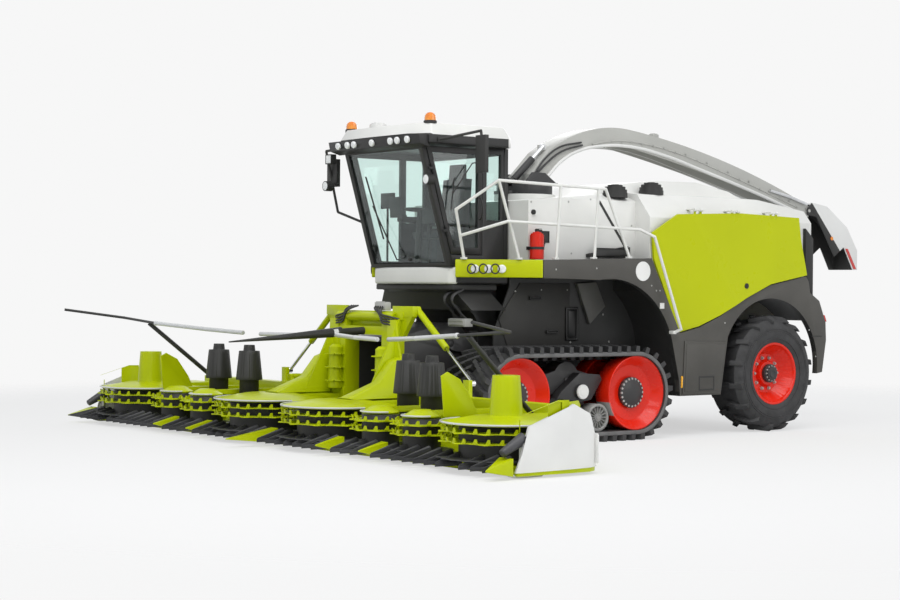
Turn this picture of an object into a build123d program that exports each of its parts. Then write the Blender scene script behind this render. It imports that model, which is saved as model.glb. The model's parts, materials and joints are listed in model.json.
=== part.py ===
from build123d import *
import math
import os

# Tracked forage harvester with a folding rotary maize header, in millimetres.
# X is forward, Y to the machine's left, Z up, with the ground at Z = 0.
# Heights and stations are worked out from the driving sizes below. A station is a distance
# ahead of the front track wheel, so most stations along the body are negative.

# Driving sizes of the whole machine
FRONT_WHEEL_X = 2210          # front track wheel's centre ahead of the origin
BODY_Y = 1500                 # half width over the side panels
BODY_CORE_Y = 1150            # half width of the white upper body beside the walkway
RUN = 0.3                     # seat or running gap between pieces of different bodies

# Track unit
TRACK_WHEEL_R = 447
TRACK_BASE = 1800             # between the two track wheels
BELT_T = 50                   # belt carcass
LUG_H = 72
LUG_COUNT = 48
BELT_IN_Y = 850
BELT_OUT_Y = 1650
TRACK_WHEEL_OUT_Y = 1613
WHEEL_GAP_IN_Y = 1120         # the gap between the inner and the outer half of each wheel
WHEEL_GAP_OUT_Y = 1380
WHEEL_BARREL_R = 150
ROLLER_R = 165
ROLLER_STATIONS = (-560, -1240)
BOGIE_PIVOT = (-900, 760)

# Rear axle
REAR_WHEEL_X = -4273
TYRE_R = 745
TYRE_W = 580
TYRE_LUG_H = 45
TYRE_LUGS = 16                # on each half of the tread
RIM_R = 400
REAR_WHEEL_Y = 1270           # middle of the tyre
KINGPIN_Y = 1050
KINGPIN_R = 55
AXLE_HALF = 70                # half the axle beam's square section

# Frame
RAIL_IN_Y = 380
RAIL_W = 160
RAIL_LOW = 1000
RAIL_H = 300
RAIL_FRONT = -200
RAIL_REAR = -5000

# Body
DECK_Z = 2150                 # top of the walkway
ARCH_ROOF_Z = 1935            # underside of the walkway's box, over the track
PANEL_T = 60                  # side panels
PANEL_HINGE = (1518, 2806)    # width and height of the side panels' hinge line
HINGE_SPOTS = (-2900, -3550, -4250)
HINGE_PIN_R = 10
WALL = 40                     # body walls
WELL_Y = 800                  # inner wall of the wheel wells
CORE_LOW = 1960               # underside of the upper body beside the cab

# Tow hitch and lift cylinders
HITCH_REACH = 150
HITCH_Z = 820
HITCH_T = 40
HITCH_HOLE_R = 20
CYL_HALF = 45                 # half width of a lift cylinder's eye
FOOT_PIN_R = 18               # foot pins of the lift and fold cylinders
LIFT_FOOT = (-300, 520)
LIFT_EYE = (835, 430)
LIFT_Y = 475

# Cab
CAB_Y = 800                   # half width at the side walls
CAB_WALL = 60
CAB_FLOOR_Z = 1860
CAB_FLOOR_T = 200
CAB_TOP_Z = 3480
CAB_REAR = -450
CAB_FRONT_LOW = 420           # windscreen foot
CAB_FRONT_HIGH = 840          # windscreen head
DOOR_REAR = -60               # door post, where the door's hinge is
GLASS_T = 8
ROOF_T = 240
VISOR_LOW = (950, 3470)
VISOR_HIGH = (975, 3580)
ROOF_Y = 960
DOOR_GAP = 8

# Spout
SPOUT_X = -1350               # turret axis
SPOUT_W = 400
SPOUT_WALL = 14
SPOUT_PIN = (-1340, 3190)     # lift pivot
SPOUT_PIN_R = 30
TURRET_R = 350
TURRET_SEAT = 2990            # top of the collar under the turning ring
TURRET_H = 150
FLAP_PIN = (-6330, 2940)
FLAP_PIN_R = 22
FLAP_W = SPOUT_W + 60

# Header
BIG_DISC_R = 705
SMALL_DISC_R = 340
DRUM_R = 150
BIG_X = 1906
SMALL_X = 2120
BIG_INNER_Y = 750
BIG_OUTER_Y = 3750
SMALL_Y = (1875, 2625)
DRUMS = ((1630, 1690), (1730, 2265))
WING_Y = 1500                 # fold line between the middle and the wings
WING_GAP = 10
PAN_LOW = 30
PAN_T = 90
ROTOR_TOP = 470
COVER_T = 12
PAN_FRONT = 2330
GUARD_TIP = 2640
GUARD_Z = 66
GUARD_STEP = 187.5
GUIDE_R = 26                  # bright guide tube over the header
BEAM_REAR = 960
BEAM_D = 140
BEAM_LOW = 330
BEAM_H = 290
WING_PIVOT = (WING_Y, 700)
FEEDER_PIN = (150, 1150)
FEEDER_Y = 420
PIN_R = 40
TIP_X = 2655
TIP_Z = 130

TURRET_Z = TURRET_SEAT + RUN
LUG_TIP_R = TRACK_WHEEL_R + RUN + BELT_T + LUG_H
TRACK_Z = LUG_TIP_R
REAR_Z = TYRE_R
BELT_INNER_R = TRACK_WHEEL_R + RUN
ROLLER_Z = TRACK_Z - BELT_INNER_R + ROLLER_R + RUN
PAN_TOP = PAN_LOW + PAN_T

os.makedirs("parts", exist_ok=True)


def save(builder, name):
    """Label a finished piece and write it."""
    builder.part.label = name
    export_step(builder.part, f"parts/{name}.step")


def station(x):
    """Row position of a station ahead of the front track wheel."""
    return FRONT_WHEEL_X + x


def side(y):
    """Plane for side outlines: local x is the station, local y the height. Extrudes go to -Y."""
    return Plane(origin=(FRONT_WHEEL_X, y, 0), x_dir=(1, 0, 0), z_dir=(0, -1, 0))


def cross(x):
    """Plane for cross sections: local x is Y, local y the height. Extrudes go forward."""
    return Plane(origin=(station(x), 0, 0), x_dir=(0, 1, 0), z_dir=(1, 0, 0))


def plan(z):
    """Plane for plan outlines: local x is the station, local y is Y. Extrudes go up."""
    return Plane(origin=(FRONT_WHEEL_X, 0, z), x_dir=(1, 0, 0), z_dir=(0, 0, 1))


def prism(plane, points, depth, mode=Mode.ADD):
    """Extrude a straight-sided outline from the plane by depth."""
    with BuildSketch(plane) as outline:
        with BuildLine():
            Polyline(*points, close=True)
        make_face()
    extrude(outline.sketch, amount=depth, mode=mode)


def block(x, y, z, mode=Mode.ADD):
    """A block between two stations, two widths and two heights."""
    centre = (station((x[0] + x[1]) / 2), (y[0] + y[1]) / 2, (z[0] + z[1]) / 2)
    with Locations(centre):
        Box(abs(x[1] - x[0]), abs(y[1] - y[0]), abs(z[1] - z[0]), mode=mode)


def turned(x, y, z, axis, profile, mode=Mode.ADD):
    """Revolve a profile of (along, radius) points about a line through a station point."""
    origin = (station(x), y, z)
    across = {"y": (0, 0, 1), "z": (1, 0, 0), "x": (0, 0, 1)}[axis]
    along = {"y": (0, 1, 0), "z": (0, 0, 1), "x": (1, 0, 0)}[axis]
    normal = Vector(*along).cross(Vector(*across))
    with BuildSketch(Plane(origin=origin, x_dir=along, z_dir=normal)) as half:
        with BuildLine():
            Polyline(*profile, close=True)
        make_face()
    revolve(half.sketch, axis=Axis(origin, along), mode=mode)


def rod(start, end, radius, mode=Mode.ADD):
    """A round bar between two row points."""
    line = Vector(*end) - Vector(*start)
    with BuildSketch(Plane(origin=start, z_dir=line)) as ring:
        Circle(radius)
    extrude(ring.sketch, amount=line.length, mode=mode)


def at(x, y, z):
    """Row point of a station, a width and a height."""
    return (station(x), y, z)


def along(start, unit, distance, y):
    """Row point at a distance from start along a side-view direction."""
    return at(start[0] + unit.X * distance, y, start[1] + unit.Y * distance)


def both_sides():
    """Add the mirror image on the machine's other side."""
    mirror(about=Plane.XZ)


def mirrored(builder, name):
    """Write the right-hand twin of a left-hand piece."""
    with BuildPart() as twin:
        mirror(builder.part, about=Plane.XZ)
    save(twin, name)


# Rubber track: one closed loop with its shoes in the outline
def loop_frame(s, radius):
    """Point and direction at a distance along the loop, from the bottom middle."""
    arc = math.pi * radius
    s = s % (2 * (TRACK_BASE + arc))
    if s < TRACK_BASE:
        return -TRACK_BASE + s, TRACK_Z - radius, 0
    s -= TRACK_BASE
    if s < arc:
        turn = s / radius
        return radius * math.sin(turn), TRACK_Z - radius * math.cos(turn), math.degrees(turn)
    s -= arc
    if s < TRACK_BASE:
        return -s, TRACK_Z + radius, 180
    s -= TRACK_BASE
    turn = s / radius
    x = -TRACK_BASE - radius * math.sin(turn)
    return x, TRACK_Z + radius * math.cos(turn), 180 + math.degrees(turn)


carcass_r = BELT_INNER_R + BELT_T
loop_length = 2 * (TRACK_BASE + math.pi * carcass_r)
shoe_spots = [loop_frame(i * loop_length / LUG_COUNT, carcass_r) for i in range(LUG_COUNT)]
SHOE_FOOT = 70
SHOE_TIP = 48
SHOE_ROOT = 6                 # depth of a shoe inside the carcass
with BuildPart() as track_belt_left:
    with BuildSketch(side(BELT_OUT_Y)) as belt_outline:
        with Locations((-TRACK_BASE / 2, TRACK_Z)):
            SlotCenterToCenter(TRACK_BASE, 2 * carcass_r)
        shoe = [
            (-SHOE_FOOT / 2, SHOE_ROOT),
            (SHOE_FOOT / 2, SHOE_ROOT),
            (SHOE_TIP / 2, -LUG_H),
            (-SHOE_TIP / 2, -LUG_H),
        ]
        for spot in shoe_spots:
            with Locations(Location((spot[0], spot[1]), spot[2])):
                Polygon(*shoe, align=None)
        with Locations((-TRACK_BASE / 2, TRACK_Z)):
            SlotCenterToCenter(TRACK_BASE, 2 * BELT_INNER_R, mode=Mode.SUBTRACT)
    extrude(amount=BELT_OUT_Y - BELT_IN_Y)
save(track_belt_left, "track_belt_left")
mirrored(track_belt_left, "track_belt_right")

# Track wheels: two dished halves on a barrel, and the small mid rollers
WHEEL_RIM_T = 24
DISC_R = 330
DISC_Y = 1490
DISC_T = 35
HUB_R = 120
wheel_middle_y = (WHEEL_GAP_IN_Y + WHEEL_GAP_OUT_Y) / 2
outer_half = [
    (WHEEL_GAP_OUT_Y, TRACK_WHEEL_R),
    (TRACK_WHEEL_OUT_Y, TRACK_WHEEL_R),
    (TRACK_WHEEL_OUT_Y, TRACK_WHEEL_R - 15),
    (DISC_Y, DISC_R),
    (DISC_Y, HUB_R),
    (DISC_Y - DISC_T, HUB_R),
    (DISC_Y - DISC_T, DISC_R + 10),
    (TRACK_WHEEL_OUT_Y - 60, TRACK_WHEEL_R - WHEEL_RIM_T),
    (WHEEL_GAP_OUT_Y, TRACK_WHEEL_R - WHEEL_RIM_T),
]
inner_half = [(2 * wheel_middle_y - y, r) for y, r in outer_half]
barrel = [
    (2 * wheel_middle_y - DISC_Y, HUB_R - 20),
    (DISC_Y, HUB_R - 20),
    (DISC_Y, WHEEL_BARREL_R),
    (2 * wheel_middle_y - DISC_Y, WHEEL_BARREL_R),
]
ROLLER_HALF = 90
roller_half = [
    (WHEEL_GAP_OUT_Y, ROLLER_R),
    (WHEEL_GAP_OUT_Y + 2 * ROLLER_HALF, ROLLER_R),
    (WHEEL_GAP_OUT_Y + 2 * ROLLER_HALF, ROLLER_R - 30),
    (WHEEL_GAP_OUT_Y + 1.4 * ROLLER_HALF, ROLLER_R - 40),
    (WHEEL_GAP_OUT_Y + 1.4 * ROLLER_HALF, 30),
    (WHEEL_GAP_OUT_Y + ROLLER_HALF, 30),
    (WHEEL_GAP_OUT_Y + ROLLER_HALF, ROLLER_R - 25),
    (WHEEL_GAP_OUT_Y, ROLLER_R - 25),
]
roller_inner = [(2 * wheel_middle_y - y, r) for y, r in roller_half]
ROLLER_AXLE_R = 40
with BuildPart() as track_wheels:
    for wheel_station in (0, -TRACK_BASE):
        for profile in (outer_half, inner_half, barrel):
            turned(wheel_station, 0, TRACK_Z, "y", profile)
    for roller_station in ROLLER_STATIONS:
        for profile in (roller_half, roller_inner):
            turned(roller_station, 0, ROLLER_Z, "y", profile)
        outer_y = WHEEL_GAP_OUT_Y + 1.5 * ROLLER_HALF
        inner_y = 2 * wheel_middle_y - outer_y
        rod(at(roller_station, inner_y, ROLLER_Z), at(roller_station, outer_y, ROLLER_Z), ROLLER_AXLE_R)
    both_sides()
save(track_wheels, "track_wheels")

# Bogie: two arms in the gap between the wheel halves, the roller legs and a cover outside
BOGIE_GRIP = 15               # side gap between the arms and the wheel halves
RING_W = 75
ARM_T = 90
bogie_in = WHEEL_GAP_IN_Y + BOGIE_GRIP
bogie_out = WHEEL_GAP_OUT_Y - BOGIE_GRIP
COVER_OUT_Y = 1500
HUB_CAP = (-1000, 600)
with BuildPart() as bogies:
    with BuildSketch(side(bogie_out)) as arms:
        for wheel_station in (0, -TRACK_BASE):
            with BuildLine():
                Polyline(
                    (wheel_station, TRACK_Z - ARM_T),
                    (BOGIE_PIVOT[0], BOGIE_PIVOT[1] - 160),
                    (BOGIE_PIVOT[0], BOGIE_PIVOT[1] + 130),
                    (wheel_station, TRACK_Z + ARM_T),
                    close=True,
                )
            make_face()
            with Locations((wheel_station, TRACK_Z)):
                Circle(WHEEL_BARREL_R + RING_W)
        with Locations(BOGIE_PIVOT):
            Circle(190)
        for roller_station in ROLLER_STATIONS:
            with BuildLine():
                Polyline(
                    (roller_station - 70, ROLLER_Z),
                    (roller_station + 70, ROLLER_Z),
                    (BOGIE_PIVOT[0] + 100, BOGIE_PIVOT[1] - 80),
                    (BOGIE_PIVOT[0] - 100, BOGIE_PIVOT[1] - 80),
                    close=True,
                )
            make_face()
            with Locations((roller_station, ROLLER_Z)):
                Circle(85)
                Circle(ROLLER_AXLE_R + RUN, mode=Mode.SUBTRACT)
        for wheel_station in (0, -TRACK_BASE):
            with Locations((wheel_station, TRACK_Z)):
                Circle(WHEEL_BARREL_R + RUN, mode=Mode.SUBTRACT)
    extrude(amount=bogie_out - bogie_in)
    cover = [(-650, 530), (-720, 610), (-1001, 821), (-1310, 795), (-1345, 735), (-1177, 500), (-1000, 478)]
    prism(side(COVER_OUT_Y), cover, COVER_OUT_Y - WHEEL_GAP_OUT_Y)
    block((-1130, -870), (WHEEL_GAP_OUT_Y, bogie_out - 5), (560, 760))
    rod(at(HUB_CAP[0], COVER_OUT_Y, HUB_CAP[1]), at(HUB_CAP[0], COVER_OUT_Y + 45, HUB_CAP[1]), 92)
    rod(at(*BOGIE_PIVOT[:1], 700, BOGIE_PIVOT[1]), at(BOGIE_PIVOT[0], bogie_in + 5, BOGIE_PIVOT[1]), 115)
    for wheel_station in (0, -TRACK_BASE):
        turned(wheel_station, 0, TRACK_Z, "y", [
            (DISC_Y + RUN, 0), (DISC_Y + RUN, 185), (DISC_Y + 40, 185), (DISC_Y + 55, 150), (DISC_Y + 75, 90), (DISC_Y + 75, 0),
        ])
    both_sides()
save(bogies, "bogies")

# Frame: two rails, cross members, the front axle housing and the drum housing between the rails
REAR_MEMBERS = (-1500, -2900, -3800, -4900)
DRUM_HOUSING = ((-800, -260), (-RAIL_IN_Y, RAIL_IN_Y), (640, 1420))
with BuildPart() as chassis_frame:
    for y in (RAIL_IN_Y, -RAIL_IN_Y - RAIL_W):
        block((RAIL_REAR, RAIL_FRONT), (y, y + RAIL_W), (RAIL_LOW, RAIL_LOW + RAIL_H))
    for x in REAR_MEMBERS:
        block((x - 90, x + 90), (-RAIL_IN_Y - 20, RAIL_IN_Y + 20), (RAIL_LOW + 50, RAIL_LOW + RAIL_H - 50))
    block(*DRUM_HOUSING)
    block((-1150, -650), (-700, 700), (600, 930))
    for y in (-560, 380):
        block((-1080, -720), (y, y + 180), (900, RAIL_LOW + 20))
    # Ears that carry the feeder's pins
    for y in (FEEDER_Y + 20, -FEEDER_Y - 70):
        prism(side(y + 50), [(-400, 1010), (-400, 1290), (120, 1230), (215, 1190), (215, 1110), (120, 1070), (-250, 1010)], 50)
    # Cab pedestal and the sloping floor front under the cab
    prism(side(620), [(-420, 1280), (-420, CAB_FLOOR_Z), (330, CAB_FLOOR_Z), (300, 1780), (-80, 1500), (-230, 1280)], 1240)
    rod(at(FEEDER_PIN[0], -600, FEEDER_PIN[1]), at(FEEDER_PIN[0], 600, FEEDER_PIN[1]), PIN_R + RUN / 6, mode=Mode.SUBTRACT)
    # Hangers of the lift cylinders
    for y in (1, -1):
        hanger = [(LIFT_FOOT[0] - 50, 700), (LIFT_FOOT[0] - 50, LIFT_FOOT[1] - 50), (LIFT_FOOT[0] + 40, LIFT_FOOT[1] - 50), (LIFT_FOOT[0] + 40, 700)]
        prism(side(LIFT_Y - CYL_HALF - 5 if y > 0 else -RAIL_IN_Y + 10), hanger, LIFT_Y - CYL_HALF - 5 - RAIL_IN_Y + 10)
        rod(at(LIFT_FOOT[0], y * (RAIL_IN_Y + 10), LIFT_FOOT[1]), at(LIFT_FOOT[0], y * (LIFT_Y + CYL_HALF + 6), LIFT_FOOT[1]), FOOT_PIN_R)
    # Tow hitch at the back
    block((RAIL_REAR - 20, RAIL_REAR + 40), (-RAIL_IN_Y - 40, RAIL_IN_Y + 40), (RAIL_LOW - 220, RAIL_LOW + 40))
    block((RAIL_REAR - HITCH_REACH - 60, RAIL_REAR), (-90, 90), (HITCH_Z, HITCH_Z + HITCH_T))
    rod(at(RAIL_REAR - HITCH_REACH, 0, HITCH_Z - 5), at(RAIL_REAR - HITCH_REACH, 0, HITCH_Z + HITCH_T + 5), HITCH_HOLE_R, mode=Mode.SUBTRACT)
save(chassis_frame, "chassis_frame")

# Rear axle beam with the forks that hold the kingpins
FORK_REACH = 75
FORK_LOW = REAR_Z - 190
FORK_HIGH = REAR_Z + 190
FORK_T = 45
knuckle_half = FORK_HIGH - FORK_T - REAR_Z - RUN
with BuildPart() as rear_axle:
    end_y = KINGPIN_Y - 110
    block((REAR_WHEEL_X - AXLE_HALF, REAR_WHEEL_X + AXLE_HALF), (-end_y, end_y), (REAR_Z - AXLE_HALF, REAR_Z + AXLE_HALF))
    for y in (1, -1):
        for z in (FORK_LOW, FORK_HIGH - FORK_T):
            block((REAR_WHEEL_X - 75, REAR_WHEEL_X + 75), (y * (end_y - 40), y * (KINGPIN_Y + FORK_REACH)), (z, z + FORK_T))
        block((REAR_WHEEL_X - 75, REAR_WHEEL_X + 75), (y * (end_y - 40), y * end_y), (FORK_LOW, FORK_HIGH))
        for z in (FORK_LOW - 1, FORK_HIGH - FORK_T - 1):
            rod(at(REAR_WHEEL_X, y * KINGPIN_Y, z), at(REAR_WHEEL_X, y * KINGPIN_Y, z + FORK_T + 2), KINGPIN_R * 0.6 + RUN / 6, mode=Mode.SUBTRACT)
    block((REAR_WHEEL_X - 160, REAR_WHEEL_X + 160), (-300, 300), (REAR_Z + AXLE_HALF - 20, RAIL_LOW + 60))
    block((REAR_WHEEL_X - 160, REAR_WHEEL_X + 160), (-RAIL_IN_Y, RAIL_IN_Y), (RAIL_LOW, RAIL_LOW + 120))
save(rear_axle, "rear_axle")

# Steering knuckle with its stub axle
STUB_R = 60
STUB_END_Y = REAR_WHEEL_Y + 60
with BuildPart() as knuckle_left:
    rod(at(REAR_WHEEL_X, KINGPIN_Y, REAR_Z - knuckle_half), at(REAR_WHEEL_X, KINGPIN_Y, REAR_Z + knuckle_half), KINGPIN_R + 20)
    rod(at(REAR_WHEEL_X, KINGPIN_Y, FORK_LOW), at(REAR_WHEEL_X, KINGPIN_Y, FORK_HIGH), KINGPIN_R * 0.6)
    rod(at(REAR_WHEEL_X, KINGPIN_Y, REAR_Z), at(REAR_WHEEL_X, STUB_END_Y, REAR_Z), STUB_R)
    prism(plan(REAR_Z - 95), [(REAR_WHEEL_X - 20, KINGPIN_Y - 35), (REAR_WHEEL_X - 20, KINGPIN_Y + 35), (REAR_WHEEL_X - 210, KINGPIN_Y + 20), (REAR_WHEEL_X - 210, KINGPIN_Y - 20)], 40)
save(knuckle_left, "knuckle_left")
mirrored(knuckle_left, "knuckle_right")

# Rear wheel rim, dished outwards, on the stub axle
RIM_T = 18
tyre_in = REAR_WHEEL_Y - TYRE_W / 2
tyre_out = REAR_WHEEL_Y + TYRE_W / 2
rim_in = tyre_in + 30
rim_out = tyre_out - 30
HUB_OUT = 1420
rim_profile = [
    (rim_in, RIM_R),
    (rim_in + 25, RIM_R - 18),
    (rim_out - 25, RIM_R - 18),
    (rim_out, RIM_R),
    (rim_out, RIM_R - 28),
    (rim_out - 40, RIM_R - 45),
    (HUB_OUT - 60, 250),
    (HUB_OUT - 60, 175),
    (HUB_OUT, 150),
    (HUB_OUT, 70),
    (HUB_OUT + 30, 60),
    (HUB_OUT + 30, 0),
    (STUB_END_Y + RUN, 0),
    (STUB_END_Y + RUN, STUB_R + RUN / 5),
    (REAR_WHEEL_Y - 60, STUB_R + RUN / 5),
    (REAR_WHEEL_Y - 60, 110),
    (HUB_OUT - 90, 130),
    (HUB_OUT - 90, 250),
    (rim_out - 75, RIM_R - 45),
    (rim_in, RIM_R - 45),
]
with BuildPart() as rear_rim_left:
    turned(REAR_WHEEL_X, 0, REAR_Z, "y", rim_profile)
save(rear_rim_left, "rear_rim_left")
mirrored(rear_rim_left, "rear_rim_right")

# Rear tyre with its slanting tread bars, clipped to the tread's outer form
tread_r = TYRE_R - TYRE_LUG_H
SHOULDER = 70
LUG_LEN = 330
LUG_T = 62
LUG_SLANT = 42
LUG_TILT_SIDE = 150           # distance of each lug's middle from the tyre's middle
tyre_profile = [
    (rim_in, RIM_R + RUN),
    (rim_in - 25, RIM_R + 70),
    (tyre_in, RIM_R + 150),
    (tyre_in + 20, tread_r - SHOULDER),
    (tyre_in + SHOULDER, tread_r - 6),
    (REAR_WHEEL_Y, tread_r),
    (tyre_out - SHOULDER, tread_r - 6),
    (tyre_out - 20, tread_r - SHOULDER),
    (tyre_out, RIM_R + 150),
    (rim_out + 25, RIM_R + 70),
    (rim_out, RIM_R + RUN),
]
tread_form = [
    (tyre_in, RIM_R + 20),
    (tyre_in, TYRE_R - SHOULDER),
    (tyre_in + SHOULDER, TYRE_R),
    (tyre_out - SHOULDER, TYRE_R),
    (tyre_out, TYRE_R - SHOULDER),
    (tyre_out, RIM_R + 20),
]
with BuildPart() as tread_bars:
    pitch = 360 / TYRE_LUGS
    for half in (1, -1):
        for i in range(TYRE_LUGS):
            turn = i * pitch + (pitch / 2 if half > 0 else 0)
            middle = Plane(origin=at(REAR_WHEEL_X, REAR_WHEEL_Y, REAR_Z), x_dir=(0, 1, 0), z_dir=(1, 0, 0))
            spoke = middle.rotated((0, 0, 0))
            radial = Vector(math.sin(math.radians(turn)), 0, math.cos(math.radians(turn)))
            centre = Vector(*at(REAR_WHEEL_X, REAR_WHEEL_Y + half * LUG_TILT_SIDE, REAR_Z)) + radial * (tread_r + 8)
            lug_plane = Plane(origin=centre, x_dir=(0, 1, 0), z_dir=radial).rotated((0, 0, half * LUG_SLANT))
            with BuildSketch(lug_plane) as bar:
                Rectangle(LUG_LEN, LUG_T)
            extrude(bar.sketch, amount=TYRE_LUG_H, both=True)
    turned(REAR_WHEEL_X, 0, REAR_Z, "y", tread_form, mode=Mode.INTERSECT)
with BuildPart() as rear_tyre_left:
    turned(REAR_WHEEL_X, 0, REAR_Z, "y", tyre_profile)
    add(tread_bars.part)
save(rear_tyre_left, "rear_tyre_left")
mirrored(rear_tyre_left, "rear_tyre_right")

# Fenders: the walkway box over the track, the ladder box and the rear wheel arch, on each side
FENDER_SKIN = 80
LADDER_BOX = ((-2628, -3330), (900, BODY_Y), (500, 1240))
with BuildPart() as fenders:
    with BuildSketch(side(BODY_Y)) as skirt:
        with BuildLine():
            Polyline(
                (-430, ARCH_ROOF_Z + 5), (-432, DECK_Z), (-2136, DECK_Z + 45), (-2630, 1272),
                (-2966, 1347), (-3313, 1483), (-3756, 1698), (-4209, 1879), (-4881, 2000),
                (-4933, 1937), (-4969, 1785), (-5142, 1680), (-5266, 1397), (-5278, 1166),
                (-5206, 745), (-5102, 728),
            )
            ThreePointArc((-5102, 728), (-4380, 1700), (-3455, 1223))
            Polyline((-3455, 1223), (-3335, 500), (-2632, 514), (-2613, 700), (-2489, 1195))
            ThreePointArc((-2489, 1195), (-2150, 1700), (-1304, ARCH_ROOF_Z - 12))
            Line((-1304, ARCH_ROOF_Z - 12), (-430, ARCH_ROOF_Z + 5))
        make_face()
    extrude(amount=FENDER_SKIN)
    # Walkway box from the skin to the wheel well's inner wall
    prism(side(BODY_Y - FENDER_SKIN + 5), [(-430, ARCH_ROOF_Z + 25), (-432, DECK_Z), (-2120, DECK_Z), (-2120, 1960)], BODY_Y - FENDER_SKIN + 5 - BODY_CORE_Y - RUN)
    block((-2120, -470), (WELL_Y, BODY_Y - FENDER_SKIN + 5), (ARCH_ROOF_Z - 5, CORE_LOW))
    # Arch liner behind the track
    with BuildSketch(side(BODY_Y - FENDER_SKIN + 5)) as liner:
        with BuildLine():
            Polyline((-2120, 1960), (-2120, 1800))
            ThreePointArc((-2120, 1800), (-2390, 1480), (-2500, 1195))
            Polyline((-2500, 1195), (-2632, 700), (-2660, 700), (-2560, 1195))
            ThreePointArc((-2560, 1195), (-2440, 1560), (-2120, 1960))
        make_face()
    extrude(amount=BODY_Y - FENDER_SKIN - WELL_Y)
    # Inner wall of the wheel well
    prism(side(WELL_Y + 20), [(-230, 1300), (-470, CAB_FLOOR_Z - 20), (-470, CORE_LOW), (-2150, CORE_LOW), (-2500, 1300), (-2500, 990), (-230, 990)], 20)
    # Ladder box
    block(*LADDER_BOX)
    block((-2900, -3150), (BODY_Y - 120, BODY_Y + 10), (560, 700), mode=Mode.SUBTRACT)
    block((-2900, -3150), (BODY_Y - 120, BODY_Y + 10), (760, 900), mode=Mode.SUBTRACT)
    # Arch roof over the rear wheel
    with BuildSketch(side(BODY_Y - FENDER_SKIN + 5)) as roof:
        with BuildLine():
            ThreePointArc((-4980, 1420), (-4380, 1706), (-3560, 1340))
            Line((-3560, 1340), (-3520, 1380))
            ThreePointArc((-3520, 1380), (-4380, 1746), (-5010, 1450))
            Line((-5010, 1450), (-4980, 1420))
        make_face()
    extrude(amount=BODY_Y - FENDER_SKIN - 900)
    both_sides()
save(fenders, "fenders")

# Green lamp panels, running out from the cab's front to the walkway's front corner
with BuildPart() as light_panels:
    prism(plan(1940), [(380, 860), (330, 830), (-425, 1430), (-425, BODY_Y), (-405, BODY_Y)], 210)
    both_sides()
save(light_panels, "light_panels")

# White upper body: hollow, with the raised hood at the rear
BODY_FRONT = -480
BODY_REAR = -5060
SHOULDER_X = -2180            # where the body widens behind the walkway
BODY_LOW = 1310
roofline = [
    (BODY_FRONT, CORE_LOW), (BODY_FRONT, 2860), (-1900, 2990), (-2160, 3125), (-2830, 3195),
    (-3530, 3200), (-4080, 3100), (-4300, 2990), (BODY_REAR, 2860), (BODY_REAR, BODY_LOW), (-2700, BODY_LOW), (-2640, 1400), (-2500, 1720), (-2250, CORE_LOW),
]
wide_section = [
    (1420, BODY_LOW), (1420, 2700), (1180, 2990), (900, 3020), (780, 3300),
    (-780, 3300), (-900, 3020), (-1180, 2990), (-1420, 2700), (-1420, BODY_LOW),
]
narrow_section = [
    (BODY_CORE_Y, 1900), (BODY_CORE_Y, 2900), (900, 3000), (780, 3300),
    (-780, 3300), (-900, 3000), (-BODY_CORE_Y, 2900), (-BODY_CORE_Y, 1900),
]
with BuildPart() as body_form:
    prism(cross(BODY_REAR), wide_section, SHOULDER_X - BODY_REAR)
    prism(cross(SHOULDER_X), narrow_section, BODY_FRONT - SHOULDER_X)
    prism(side(BODY_Y), roofline, 2 * BODY_Y, mode=Mode.INTERSECT)
inner_wide = [(1380, BODY_LOW - 10), (1380, 2685), (1160, 2948), (890, 2980), (760, 3080), (-760, 3080), (-890, 2980), (-1160, 2948), (-1380, 2685), (-1380, BODY_LOW - 10)]
inner_narrow = [(BODY_CORE_Y - WALL, 1890), (BODY_CORE_Y - WALL, 2840), (880, 2850), (-880, 2850), (-BODY_CORE_Y + WALL, 2840), (-BODY_CORE_Y + WALL, 1890)]
panel_opening = [(-2330, 2090), (-2340, 2440), (-2640, 2640), (-3652, 2660), (-4680, 2650), (-4690, 2462), (-4780, 2120), (-4209, 1960), (-3756, 1790), (-3313, 1570), (-2966, 1430), (-2700, 1390)]
with BuildPart() as body_shell:
    add(body_form.part)
    prism(cross(BODY_REAR + 60), inner_wide, SHOULDER_X - BODY_REAR - 60 - WALL, mode=Mode.SUBTRACT)
    prism(cross(SHOULDER_X - WALL - 1), inner_narrow, BODY_FRONT - SHOULDER_X + 1, mode=Mode.SUBTRACT)
    prism(side(BODY_Y), panel_opening, 2 * BODY_Y, mode=Mode.SUBTRACT)
    # Opening in the rear wall behind the cooling grille
    block((BODY_REAR - 5, BODY_REAR + 70), (-820, 820), (1700, 2600), mode=Mode.SUBTRACT)
    # The lower corners are cut away over the rear wheels
    for y in (1, -1):
        block((-5300, -2700), (y * 850, y * 1450), (BODY_LOW - 5, 1770), mode=Mode.SUBTRACT)
    # Round crop outlet under the turret
    with Locations(at(SPOUT_X, 0, TURRET_SEAT - 75)):
        Cylinder(TURRET_R + 30, 150)
        Cylinder(TURRET_R - 40, 400, mode=Mode.SUBTRACT)
    # Brackets and pins of the side panels' hinges
    for y in (1, -1):
        for spot in HINGE_SPOTS:
            block((spot - 25, spot + 25), (y * 1300, y * PANEL_HINGE[0]), (PANEL_HINGE[1] + 4, PANEL_HINGE[1] + 16))
            rod(at(spot - 72, y * PANEL_HINGE[0], PANEL_HINGE[1]), at(spot + 72, y * PANEL_HINGE[0], PANEL_HINGE[1]), HINGE_PIN_R)
save(body_shell, "body_shell")

# Engine: one plain block across the rear of the frame
with BuildPart() as engine:
    block((-3700, -2900), (-750, 750), (RAIL_LOW + RAIL_H, 2250))
save(engine, "engine")

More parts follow.
